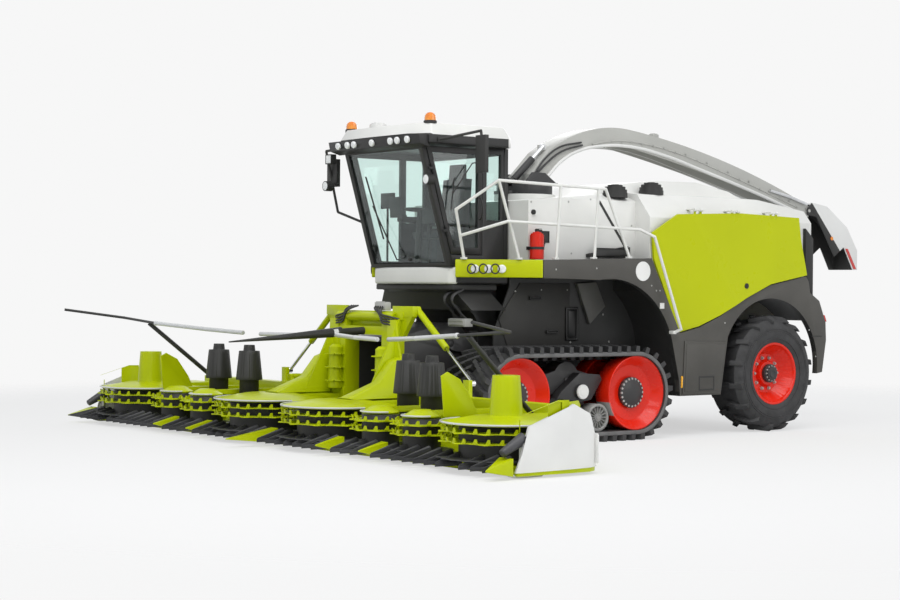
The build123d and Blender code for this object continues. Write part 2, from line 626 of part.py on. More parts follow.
# Rear cooling grille: a frame with slats
GRILLE_T = 70
with BuildPart() as rear_grille:
    prism(cross(BODY_REAR - GRILLE_T), [(1290, 1450), (1290, 2500), (1000, 2800), (-1000, 2800), (-1290, 2500), (-1290, 1450)], GRILLE_T)
    SLATS = 9
    for i in range(SLATS):
        z = 1720 + i * 100
        block((BODY_REAR - GRILLE_T - 5, BODY_REAR - 12), (-950, 950), (z, z + 62), mode=Mode.SUBTRACT)
save(rear_grille, "rear_grille")

# Side panels: the big green service doors, hinged along the top
panel_outline = [
    (-2205, 2187), (-2168, 2510), (-2560, 2745), (-3652, 2788), (-4740, 2760), (-4782, 2462), (-4881, 2085),
    (-4895, 2016), (-4209, 1894), (-3756, 1713), (-3313, 1498), (-2966, 1362), (-2642, 1287),
]

PANEL_CREST_Y = BODY_Y + 30   # the crease stands proud of the body
PANEL_SKIN = 30
with BuildPart() as panel_form:
    prism(side(PANEL_CREST_Y), panel_outline, PANEL_CREST_Y - 1400)
    # Ahead of the crease the door leans in towards its front lower corner, and behind it a little towards the rear
    for lean_x, lean_z in ((0.8125 * 0.075, -0.583 * 0.075), (-0.8125 * 0.018, 0.583 * 0.018)):
        facet = Plane(origin=at(-3176, PANEL_CREST_Y, 2170), x_dir=(-693, 693 * lean_x + 966 * lean_z, -966), z_dir=(lean_x, 1, lean_z))
        split(bisect_by=facet, keep=Keep.BOTTOM)
with BuildPart() as side_panel_left:
    add(panel_form.part)
    add(panel_form.part.moved(Location((0, -PANEL_SKIN, 0))), mode=Mode.SUBTRACT)
    for spot in HINGE_SPOTS:
        for x in (spot + 30, spot - 70):
            block((x, x + 40), (BODY_Y - 6, BODY_Y + 10), (2735, PANEL_HINGE[1]))
            block((x, x + 40), (1480, BODY_Y + 8), (2725, 2770))
            rod(at(x, *PANEL_HINGE), at(x + 40, *PANEL_HINGE), HINGE_PIN_R + 9)
            rod(at(x - 1, *PANEL_HINGE), at(x + 41, *PANEL_HINGE), HINGE_PIN_R + RUN / 6, mode=Mode.SUBTRACT)
save(side_panel_left, "side_panel_left")
mirrored(side_panel_left, "side_panel_right")

# Cab floor with the pale front strip
with BuildPart() as cab_floor:
    with BuildSketch(plan(CAB_FLOOR_Z)) as floor_plan:
        with BuildLine():
            Polyline((CAB_REAR, -CAB_Y - 20), (330, -CAB_Y - 30), (400, -CAB_Y + 40))
            ThreePointArc((400, -CAB_Y + 40), (470, 0), (400, CAB_Y - 40))
            Polyline((400, CAB_Y - 40), (330, CAB_Y + 30), (CAB_REAR, CAB_Y + 20), (CAB_REAR, -CAB_Y - 20))
        make_face()
    extrude(amount=CAB_FLOOR_T)
save(cab_floor, "cab_floor")

floor_top = CAB_FLOOR_Z + CAB_FLOOR_T
lean = (CAB_FRONT_HIGH - CAB_FRONT_LOW) / (CAB_TOP_Z - floor_top)


def front_at(z):
    """Station of the windscreen plane at a height."""
    return CAB_FRONT_LOW + lean * (z - floor_top)


DOOR_AXIS_BACK = 80           # the door's hinge line behind the windscreen plane
DOOR_AXIS_Y = CAB_Y + 12
DOOR_HINGES = (2480, 3200)
DOOR_PIN_R = 8


def door_axis(z):
    """Row point on the door's hinge line, which leans with the windscreen."""
    return at(front_at(z) - DOOR_AXIS_BACK, DOOR_AXIS_Y, z)


# Cab front: the windscreen's frame and the dark visor band over it
FRAME_W = 70
with BuildPart() as cab_front:
    screen = [(CAB_FRONT_LOW, floor_top), (CAB_FRONT_HIGH, CAB_TOP_Z), (CAB_FRONT_HIGH - 60, CAB_TOP_Z), (CAB_FRONT_LOW - 60, floor_top)]
    prism(side(CAB_Y), screen, 2 * CAB_Y)
    low = floor_top + 45
    high = CAB_TOP_Z - 60
    opening = [(front_at(low) + 60, low), (front_at(high) + 60, high), (front_at(high) - 160, high), (front_at(low) - 160, low)]
    prism(side(CAB_Y - FRAME_W), opening, 2 * (CAB_Y - FRAME_W), mode=Mode.SUBTRACT)
    visor = [(CAB_FRONT_HIGH - 30, CAB_TOP_Z - 50), (VISOR_LOW[0], VISOR_LOW[1]), (VISOR_HIGH[0], VISOR_HIGH[1]), (CAB_FRONT_HIGH, CAB_TOP_Z + 100), (CAB_FRONT_HIGH, CAB_TOP_Z)]
    prism(side(ROOF_Y - 20), visor, 2 * (ROOF_Y - 20))
    # Pins and brackets of the door's hinges
    for z in DOOR_HINGES:
        rod(door_axis(z - 60), door_axis(z + 60), DOOR_PIN_R)
        for back, inner_y in ((66, CAB_Y - 4), (84, CAB_Y + 4.5)):
            bracket = [(front_at(z - 15) - back, z - 15), (front_at(z - 15) - 25, z - 15), (front_at(z + 15) - 25, z + 15), (front_at(z + 15) - back, z + 15)]
            prism(side(DOOR_AXIS_Y + DOOR_PIN_R), bracket, DOOR_AXIS_Y + DOOR_PIN_R - inner_y)
save(cab_front, "cab_front")

# Cab roof: a low crowned shell
with BuildPart() as cab_roof:
    with BuildSketch(plan(CAB_TOP_Z)) as roof_low:
        with BuildLine():
            Polyline((-430, -ROOF_Y + 90), (-340, -ROOF_Y), (CAB_FRONT_HIGH - 1, -ROOF_Y), (CAB_FRONT_HIGH - 1, ROOF_Y), (-340, ROOF_Y), (-430, ROOF_Y - 90), (-430, -ROOF_Y + 90))
        make_face()
    extrude(amount=100)
    with BuildSketch(plan(CAB_TOP_Z + 100)) as roof_mid:
        with BuildLine():
            Polyline((-430, -ROOF_Y + 90), (-340, -ROOF_Y), (800, -ROOF_Y), (960, -700), (985, 0), (960, 700), (800, ROOF_Y), (-340, ROOF_Y), (-430, ROOF_Y - 90), (-430, -ROOF_Y + 90))
        make_face()
    extrude(amount=ROOF_T - 100, taper=30)
save(cab_roof, "cab_roof")

# Cab back wall with its window
with BuildPart() as cab_back:
    block((CAB_REAR, CAB_REAR + CAB_WALL), (-CAB_Y, CAB_Y), (floor_top, CAB_TOP_Z))
    block((CAB_REAR - 10, CAB_REAR + CAB_WALL + 10), (-CAB_Y + 90, CAB_Y - 90), (floor_top + 500, CAB_TOP_Z - 80), mode=Mode.SUBTRACT)
save(cab_back, "cab_back")

# Cab sides: the right-hand wall, and the short fixed side behind the door on the left
wall_front_low = front_at(floor_top) - 60 - 5
wall_front_high = front_at(CAB_TOP_Z) - 60 - 5
with BuildPart() as cab_sides:
    right_wall = [(CAB_REAR + CAB_WALL, floor_top), (wall_front_low, floor_top), (wall_front_high, CAB_TOP_Z), (CAB_REAR + CAB_WALL, CAB_TOP_Z)]
    prism(side(-CAB_Y + CAB_WALL), right_wall, CAB_WALL)
    right_glass = [(20, floor_top + 80), (front_at(floor_top + 80) - 140, floor_top + 80), (front_at(CAB_TOP_Z - 80) - 140, CAB_TOP_Z - 80), (20, CAB_TOP_Z - 80)]
    prism(side(-CAB_Y + CAB_WALL + 5), right_glass, CAB_WALL + 10, mode=Mode.SUBTRACT)
    rear_light = [(-340, floor_top + 560), (-60, floor_top + 560), (-60, CAB_TOP_Z - 80), (-340, CAB_TOP_Z - 80)]
    prism(side(-CAB_Y + CAB_WALL + 5), rear_light, CAB_WALL + 10, mode=Mode.SUBTRACT)
    sill_top = DECK_Z + 60 - DOOR_GAP
    sill = [(DOOR_REAR - DOOR_GAP - 5, floor_top), (front_at(floor_top) - 65, floor_top), (front_at(sill_top) - 65, sill_top), (DOOR_REAR - DOOR_GAP - 5, sill_top)]
    prism(side(CAB_Y), sill, CAB_WALL)
    left_wall = [(CAB_REAR + CAB_WALL, floor_top), (DOOR_REAR - DOOR_GAP, floor_top), (DOOR_REAR - DOOR_GAP, CAB_TOP_Z), (CAB_REAR + CAB_WALL, CAB_TOP_Z)]
    prism(side(CAB_Y), left_wall, CAB_WALL)
    left_light = [(-340, floor_top + 560), (-130, floor_top + 560), (-130, CAB_TOP_Z - 80), (-340, CAB_TOP_Z - 80)]
    prism(side(CAB_Y + 5), left_light, CAB_WALL + 10, mode=Mode.SUBTRACT)
save(cab_sides, "cab_sides")

# Cab door with its window, hinged on the post behind it
door_low = DECK_Z + 60        # above the lamp panel, which the door swings over
door_high = CAB_TOP_Z - 22    # the leaning hinge lifts the door's front corner as it opens
door_edge = 65 + DOOR_GAP     # the door's front edge behind the windscreen plane
with BuildPart() as cab_door:
    door = [(DOOR_REAR, door_low), (front_at(door_low) - door_edge, door_low), (front_at(door_high) - door_edge, door_high), (DOOR_REAR, door_high)]
    prism(side(CAB_Y), door, CAB_WALL)
    pane = [(DOOR_REAR + 60, door_low + 80), (front_at(door_low + 80) - door_edge - 60, door_low + 80), (front_at(door_high - 70) - door_edge - 60, door_high - 70), (DOOR_REAR + 60, door_high - 70)]
    prism(side(CAB_Y + 5), pane, CAB_WALL + 10, mode=Mode.SUBTRACT)
    for z in DOOR_HINGES:
        for low_end, high_end in ((-58, -22), (22, 58)):
            rod(door_axis(z + low_end), door_axis(z + high_end), DOOR_PIN_R + 9)
            rod(door_axis(z + low_end - 2), door_axis(z + high_end + 2), DOOR_PIN_R + RUN / 6, mode=Mode.SUBTRACT)
save(cab_door, "cab_door")

# Door glass, set in the middle of the door's thickness
with BuildPart() as door_glass:
    prism(side(CAB_Y - 25), pane, GLASS_T)
save(door_glass, "door_glass")

# Fixed cab glass: windscreen, right-hand panes, left rear pane and back window
with BuildPart() as cab_glass:
    screen_glass = [(front_at(low) - 20, low), (front_at(high) - 20, high), (front_at(high) - 20 - GLASS_T, high), (front_at(low) - 20 - GLASS_T, low)]
    prism(side(CAB_Y - FRAME_W), screen_glass, 2 * (CAB_Y - FRAME_W))
    prism(side(-CAB_Y + 35), right_glass, GLASS_T)
    prism(side(-CAB_Y + 35), rear_light, GLASS_T)
    prism(side(CAB_Y - 25), left_light, GLASS_T)
    block((CAB_REAR + 25, CAB_REAR + 25 + GLASS_T), (-CAB_Y + 90, CAB_Y - 90), (floor_top + 500, CAB_TOP_Z - 80))
save(cab_glass, "cab_glass")

# Driver's seat on its pedestal
with BuildPart() as seat:
    block((-200, 120), (-160, 160), (floor_top, floor_top + 350))
    prism(side(250), [(-260, floor_top + 330), (185, floor_top + 350), (200, floor_top + 430), (-260, floor_top + 440)], 500)
    prism(side(230), [(-300, floor_top + 400), (-170, floor_top + 400), (-250, floor_top + 1080), (-340, floor_top + 1080)], 460)
    prism(side(130), [(-335, floor_top + 1080), (-255, floor_top + 1080), (-270, floor_top + 1260), (-330, floor_top + 1260)], 260)
save(seat, "seat")

# Steering column with its wheel, and the armrest console with a screen
with BuildPart() as cab_controls:
    foot = at(300, 0, floor_top + 15)
    head = at(255, 0, floor_top + 680)
    block((240, 345), (-60, 60), (floor_top, floor_top + 40))
    rod(foot, head, 40)
    axis_dir = Vector(*head) - Vector(*foot)
    with BuildSketch(Plane(origin=head, z_dir=axis_dir)) as wheel:
        Circle(200)
        Circle(172, mode=Mode.SUBTRACT)
        Rectangle(360, 36)
        Rectangle(36, 360)
    extrude(wheel.sketch, amount=24)
    prism(side(-290), [(-180, floor_top + 520), (330, floor_top + 560), (330, floor_top + 620), (-180, floor_top + 620)], 90)
    block((-60, 0), (-370, -300), (floor_top, floor_top + 545))
    block((250, 320), (-380, -290), (floor_top + 560, floor_top + 640))
    prism(side(-300), [(300, floor_top + 610), (330, floor_top + 610), (350, floor_top + 860), (320, floor_top + 860)], 230)
save(cab_controls, "cab_controls")

# Walkway handrails on the left
TUBE_R = 18
RAIL_Y = 1480
SKIRT_RISE = 45 / 1704        # slope of the walkway's outer edge


def deck_at(x):
    """Height of the walkway's outer edge at a station."""
    return DECK_Z + SKIRT_RISE * (-432 - x)


RAIL_FEET = ((305, 930), (-195, 1333))
with BuildPart() as handrails:
    runs = [
        [at(*RAIL_FEET[0], DECK_Z + 12), at(515, 1050, 2720), at(228, RAIL_Y, 3050), at(-1400, RAIL_Y, 3010), at(-1800, RAIL_Y - 10, deck_at(-1830) + 12)],
        [at(403, 986, 2422), at(70, 1450, 2585), at(-1960, RAIL_Y, 2540), at(-2070, 1625, 2450), at(-2510, 1635, 1330), at(-2470, 1560, 1290)],
        [at(*RAIL_FEET[1], DECK_Z + 12), at(228, RAIL_Y, 3050)],
    ]
    for points in runs:
        for start, end in zip(points, points[1:]):
            rod(start, end, TUBE_R)
        for point in points[1:-1]:
            with Locations(point):
                Sphere(TUBE_R)
    for x, tilt in ((-640, 60), (-1230, 60)):
        rod(at(x, RAIL_Y, deck_at(x - 30) + 12), at(x - tilt, RAIL_Y, 3018), TUBE_R)
    for x, y, z in ((*RAIL_FEET[0], DECK_Z), (*RAIL_FEET[1], DECK_Z), (-640, 1465, deck_at(-670)), (-1230, 1465, deck_at(-1260)), (-1800, 1460, deck_at(-1830))):
        block((x - 30, x + 30), (y - 28, y + 28), (z + RUN, z + 24))
    block((-2490, -2440), (BODY_Y, 1575), (1270, 1310))
save(handrails, "handrails")

# Mirrors on arms from the roof's front corners
with BuildPart() as mirrors:
    block((675, 725), (ROOF_Y, ROOF_Y + 25), (CAB_TOP_Z + 15, CAB_TOP_Z + 65))
    rod(at(700, ROOF_Y + 18, CAB_TOP_Z + 40), at(430, 1400, CAB_TOP_Z + 130), 16)
    with Locations(at(430, 1400, CAB_TOP_Z + 130)):
        Sphere(16)
    rod(at(430, 1400, CAB_TOP_Z + 130), at(425, 1410, CAB_TOP_Z + 60), 16)
    block((395, 445), (1320, 1500), (3130, 3560))
    block((735, 785), (-ROOF_Y - 25, -ROOF_Y), (CAB_TOP_Z + 15, CAB_TOP_Z + 65))
    rod(at(760, -ROOF_Y - 18, CAB_TOP_Z + 40), at(820, -1230, CAB_TOP_Z + 20), 16)
    rod(at(820, -1230, CAB_TOP_Z + 20), at(640, -1230, 2750), 16)
    rod(at(640, -1230, 2750), at(500, -CAB_Y - 18, 2600), 16)
    block((690, 740), (-1330, -1110), (3060, 3400))
save(mirrors, "mirrors")

# Lamps: visor lamps, panel lamps, beacons and tail lamps
BEACON_X = 720
BEACON_Y = 815
with BuildPart() as lamps:
    for y in (-720, -520, -380, 0, 380, 520, 720):
        face = ((VISOR_LOW[0] + VISOR_HIGH[0]) / 2, (VISOR_LOW[1] + VISOR_HIGH[1]) / 2)
        out = Vector(VISOR_HIGH[1] - VISOR_LOW[1], VISOR_LOW[0] - VISOR_HIGH[0]).normalized()
        rod(along(face, out, 0, y), along(face, out, 35, y), 42)
    for y in (-BEACON_Y, BEACON_Y):
        rod(at(BEACON_X, y, CAB_TOP_Z + ROOF_T), at(BEACON_X, y, CAB_TOP_Z + ROOF_T + 105), 50)
    for y in (1, -1):
        for i in range(3):
            share = 0.23 + i * 0.155
            x = 380 - 785 * share
            reach = 860 + (BODY_Y - 860) * share
            rod(at(x + 0.3, y * (reach + 0.3), 2040), at(x + 0.3 + 19, y * (reach + 0.3 + 23.3), 2040), 50)
        tail = [(-5262.8, 1405), (-5223.4, 1495), (-5262, 1495), (-5302, 1405)]
        prism(side(1495 if y > 0 else -1425), tail, 70)
save(lamps, "lamps")

# Spout turret: the turning ring with the ears of the lift pivot
EAR_IN_Y = SPOUT_W / 2 + 70
EAR_T = 25
with BuildPart() as spout_turret:
    with Locations(at(SPOUT_X, 0, TURRET_Z + TURRET_H / 2)):
        Cylinder(TURRET_R, TURRET_H)
        Cylinder(TURRET_R - 20, TURRET_H + 2, mode=Mode.SUBTRACT)
    ear = [(-1650, TURRET_Z + TURRET_H - 20), (-1120, TURRET_Z + TURRET_H - 20), (-1240, 3260), (-1440, 3260)]
    for y in (EAR_IN_Y + EAR_T, -EAR_IN_Y):
        prism(side(y), ear, EAR_T)
    for y in (1, -1):
        block((-1650, -1120), (y * EAR_IN_Y, y * (EAR_IN_Y + EAR_T)), (TURRET_Z + TURRET_H - 30, TURRET_Z + TURRET_H))
        rod(at(SPOUT_PIN[0], y * (SPOUT_W / 2 + 20), SPOUT_PIN[1]), at(SPOUT_PIN[0], y * (EAR_IN_Y + 5), SPOUT_PIN[1]), SPOUT_PIN_R)
    # Bracket of the lift cylinder's foot, ahead of the ring, which is notched beside it
    block((-1140, -1000), (46, 146), (3085, TURRET_Z + TURRET_H + 1), mode=Mode.SUBTRACT)
    block((-1115, -1035), (-75, 45), (TURRET_Z, 3195))
    rod(at(-1075, 40, 3150), at(-1075, 127, 3150), FOOT_PIN_R)
    block((-1110, -980), (-150, 150), (TURRET_Z, TURRET_Z + 40))
save(spout_turret, "spout_turret")

# Spout: a long curved channel, open below
with BuildPart() as spout:
    with BuildSketch(side(SPOUT_W / 2)) as channel:
        with BuildLine():
            Line((-1278, 3245), (-1560, 3530))
            ThreePointArc((-1560, 3530), (-2050, 3785), (-2954, 3887))
            ThreePointArc((-2954, 3887), (-4793, 3526), (-6390, 2989))
            Line((-6390, 2989), (-6340, 2850))
            ThreePointArc((-6340, 2850), (-4796, 3267), (-2956, 3655))
            ThreePointArc((-2956, 3655), (-2266, 3616), (-1800, 3420))
            Polyline((-1800, 3420), (-1441, 3090), (-1278, 3090), (-1278, 3245))
        make_face()
    extrude(amount=SPOUT_W)
    inner_y = SPOUT_W / 2 - SPOUT_WALL
    with BuildSketch(side(inner_y)) as bore:
        with BuildLine():
            Line((-1300, 3230), (-1575, 3510))
            ThreePointArc((-1575, 3510), (-2060, 3770), (-2954, 3873))
            ThreePointArc((-2954, 3873), (-4793, 3512), (-6410, 2970))
            Line((-6410, 2970), (-6400, 2700))
            ThreePointArc((-6400, 2700), (-4796, 3200), (-2956, 3600))
            ThreePointArc((-2956, 3600), (-2266, 3560), (-1830, 3370))
            Polyline((-1830, 3370), (-1500, 3050), (-1300, 3050), (-1300, 3230))
        make_face()
    extrude(amount=2 * inner_y, mode=Mode.SUBTRACT)
    for y in (1, -1):
        turned(SPOUT_PIN[0], 0, SPOUT_PIN[1], "y", [
            (y * (inner_y + 5), SPOUT_PIN_R + RUN / 6),
            (y * (EAR_IN_Y - 10), SPOUT_PIN_R + RUN / 6),
            (y * (EAR_IN_Y - 10), 62),
            (y * (inner_y + 5), 62),
        ])
        rod(at(SPOUT_PIN[0], y * (inner_y - 5), SPOUT_PIN[1]), at(SPOUT_PIN[0], y * (EAR_IN_Y - 9), SPOUT_PIN[1]), SPOUT_PIN_R + RUN / 6, mode=Mode.SUBTRACT)
    # Pins of the end flap
    for y in (1, -1):
        rod(at(FLAP_PIN[0], y * (inner_y + 2), FLAP_PIN[1]), at(FLAP_PIN[0], y * (FLAP_W / 2 + 6), FLAP_PIN[1]), FLAP_PIN_R)
    # Lug for the lift cylinder's eye
    prism(side(70), [(-1620, 3560), (-1520, 3475), (-1520, 3625), (-1600, 3640)], 30)
save(spout, "spout")

# Spout lift cylinder on top: the barrel, and the rod towards the channel
CYL_FOOT = (-1075, 3150)
CYL_EYE = (-1560, 3600)
cyl_line = Vector(CYL_EYE[0] - CYL_FOOT[0], CYL_EYE[1] - CYL_FOOT[1])
cyl_unit = cyl_line.normalized()
BARREL_R = 45
ROD_R = 25


with BuildPart() as spout_lift_barrel:
    rod(along(CYL_FOOT, cyl_unit, 50, 95), along(CYL_FOOT, cyl_unit, 430, 95), BARREL_R)
    rod(along(CYL_FOOT, cyl_unit, 40, 95), along(CYL_FOOT, cyl_unit, 431, 95), ROD_R + RUN, mode=Mode.SUBTRACT)
    rod(along(CYL_FOOT, cyl_unit, 30, 95), along(CYL_FOOT, cyl_unit, 60, 95), BARREL_R)
    rod(at(CYL_FOOT[0], 65, CYL_FOOT[1]), at(CYL_FOOT[0], 125, CYL_FOOT[1]), BARREL_R)
    rod(at(CYL_FOOT[0], 64, CYL_FOOT[1]), at(CYL_FOOT[0], 126, CYL_FOOT[1]), FOOT_PIN_R + RUN / 6, mode=Mode.SUBTRACT)
save(spout_lift_barrel, "spout_lift_barrel")
with BuildPart() as spout_lift_rod:
    rod(along(CYL_FOOT, cyl_unit, 200, 95), along(CYL_FOOT, cyl_unit, cyl_line.length, 95), ROD_R)
    rod(along(CYL_EYE, cyl_unit, 0, 75), along(CYL_EYE, cyl_unit, 0, 115), 38)
save(spout_lift_rod, "spout_lift_rod")

# End flap of the spout
with BuildPart() as spout_deflector:
    outer = [(-6385, 3058), (-6703, 3013), (-7130, 2724), (-7350, 2396), (-7350, 2120), (-7250, 2120), (-7060, 2440), (-6862, 2300), (-6480, 2860), (-6300, 2880), (-6290, 2972)]
    prism(side(FLAP_W / 2), outer, FLAP_W)
    inner = [(-6200, 3040), (-6690, 2995), (-7118, 2705), (-7336, 2390), (-7336, 2000), (-6862, 2000), (-6200, 2600)]
    prism(side(FLAP_W / 2 - SPOUT_WALL), inner, FLAP_W - 2 * SPOUT_WALL, mode=Mode.SUBTRACT)
    rod(at(FLAP_PIN[0], -FLAP_W, FLAP_PIN[1]), at(FLAP_PIN[0], FLAP_W, FLAP_PIN[1]), FLAP_PIN_R + RUN / 6, mode=Mode.SUBTRACT)
save(spout_deflector, "spout_deflector")

# Feeder house: the intake duct that carries the header
with BuildPart() as feeder_house:
    with BuildSketch(side(FEEDER_Y)) as feeder_side:
        with BuildLine():
            Polyline((150, 1400), (880, 1230), (880, 520), (300, 560), (-60, 800))
            ThreePointArc((-60, 800), (-180, 1150), (-60, 1340))
            Line((-60, 1340), (150, 1400))
        make_face()
    extrude(amount=2 * FEEDER_Y)
    prism(side(FEEDER_Y - 40), [(-70, 850), (-70, 1290), (120, 1350), (900, 1165), (900, 590), (300, 620)], 2 * FEEDER_Y - 80, mode=Mode.SUBTRACT)
    block((-300, 0), (-FEEDER_Y + 40, FEEDER_Y - 40), (860, 1280), mode=Mode.SUBTRACT)
    for y in (1, -1):
        rod(at(FEEDER_PIN[0], y * (FEEDER_Y - 20), FEEDER_PIN[1]), at(FEEDER_PIN[0], y * (FEEDER_Y + 65), FEEDER_PIN[1]), PIN_R)
        # Lugs for the lift cylinders
        block((790, 880), (y * (FEEDER_Y - 20), y * (FEEDER_Y + 18)), (390, 620))
save(feeder_house, "feeder_house")


def toothed_ring(x, y, z, radius, tooth, count, thickness, lean_back=0.35):
    """A flat ring with hooked teeth round its edge."""
    root = radius - tooth
    with BuildSketch(Plane.XY.offset(z)) as ring:
        with Locations((station(x), y)):
            Circle(root)
            with PolarLocations(0, count):
                half = math.pi * root / count
                Polygon((root - 12, -half * 0.75), (radius, half * lean_back), (root - 12, half * 0.75), align=None)
    extrude(ring.sketch, amount=thickness)


def rotor(name, x, y, radius, teeth, core, rings, hood=None):
    """A header rotor: knife disc, toothed gathering rings, core and, on the drums, a black hood."""
    with BuildPart() as built:
        base = PAN_TOP + RUN
        with Locations(at(x, y, (base + ROTOR_TOP) / 2)):
            Cylinder(core, ROTOR_TOP - base)
        toothed_ring(x, y, base + 20, radius, radius * 0.05, 2 * teeth, 10)
        for z in rings:
            toothed_ring(x, y, z, radius * 0.97, radius * 0.12, teeth, 14)
        if hood:
            turned(x, y, 0, "z", hood)
    save(built, name)


hood_profile = [(ROTOR_TOP - 1, 0), (ROTOR_TOP - 1, 120), (664, 120), (664, 165), (1020, 128), (1020, 75), (1094, 66), (1094, 0)]
for side_name, sign in (("left", 1), ("right", -1)):
    rotor(f"disc_big_inner_{side_name}", BIG_X, sign * BIG_INNER_Y, BIG_DISC_R, 12, 470, (300, 400))
    rotor(f"disc_big_outer_{side_name}", BIG_X, sign * BIG_OUTER_Y, BIG_DISC_R, 12, 470, (300, 400))
    rotor(f"disc_small_inner_{side_name}", SMALL_X, sign * SMALL_Y[0], SMALL_DISC_R, 8, 200, (300, 400))
    rotor(f"disc_small_outer_{side_name}", SMALL_X, sign * SMALL_Y[1], SMALL_DISC_R, 8, 200, (300, 400))
    rotor(f"drum_inner_{side_name}", DRUMS[0][0], sign * DRUMS[0][1], DRUM_R, 6, 95, (230, 340), hood_profile)
    rotor(f"drum_outer_{side_name}", DRUMS[1][0], sign * DRUMS[1][1], DRUM_R, 6, 95, (230, 340), hood_profile)


def divider(y, tip_x=TIP_X, tip_z=TIP_Z, length=330, width=120, low=PAN_LOW, root_y=None):
    """A pointed crop divider at the pan's front edge."""
    with BuildSketch(cross(tip_x - length)) as root:
        with Locations((y if root_y is None else root_y, low + 90)):
            Rectangle(width, 170)
    with BuildSketch(cross(tip_x)) as tip:
        with Locations((y, tip_z - 8)):
            Rectangle(12, 12)
    loft([root.sketch.face(), tip.sketch.face()])


def top_cover(x, y, radius, cone=None):
    """A smooth conical lid over a rotor, tied back to the beam."""
    under = ROTOR_TOP + 12
    profile = [(under, 0), (under, radius), (under + COVER_T, radius), (under + 75, radius * 0.45), (under + 75, 0)]
    turned(x, y, 0, "z", profile)
    back = BEAM_REAR + BEAM_D - 10
    arm = 40 if radius < 300 else radius * 0.42
    block((back, x), (y - arm, y + arm), (under, under + 60))
    if cone:
        turned(x, y, 0, "z", cone)


def guards(y, step, places):
    """Pointed fingers along the pan's front edge."""
    with BuildSketch(plan(GUARD_Z)) as fingers:
        for place in places:
            middle = y + place * step
            Polygon((PAN_FRONT - 15, middle - 30), (GUARD_TIP, middle), (PAN_FRONT - 15, middle + 30), align=None)
    extrude(fingers.sketch, amount=42)


FOLD_BRACKET = 945
cone_profile = [(ROTOR_TOP + 60, 0), (ROTOR_TOP + 60, 165), (611, 165), (952, 138), (952, 0)]
FOLD_FOOT = (850, 1560)       # width and height of a fold cylinder's foot
FOLD_EYE = (1900, 760)
FOLD_X = 905


def fold_lug(x, y_sign, foot, depth=40):
    """A hinge lug from the beam's end block up to the wing's pivot."""
    with BuildSketch(cross(x)) as lug:
        with BuildLine():
            Polyline(
                (y_sign * foot[0], WING_PIVOT[1] - 130),
                (y_sign * foot[1], WING_PIVOT[1] - 130),
                (y_sign * (WING_PIVOT[0] + 20), WING_PIVOT[1] - 30),
                (y_sign * (WING_PIVOT[0] - 20), WING_PIVOT[1] + 30),
                close=True,
            )
        make_face()
        with Locations((y_sign * WING_PIVOT[0], WING_PIVOT[1])):
            Circle(38)
    extrude(lug.sketch, amount=depth)


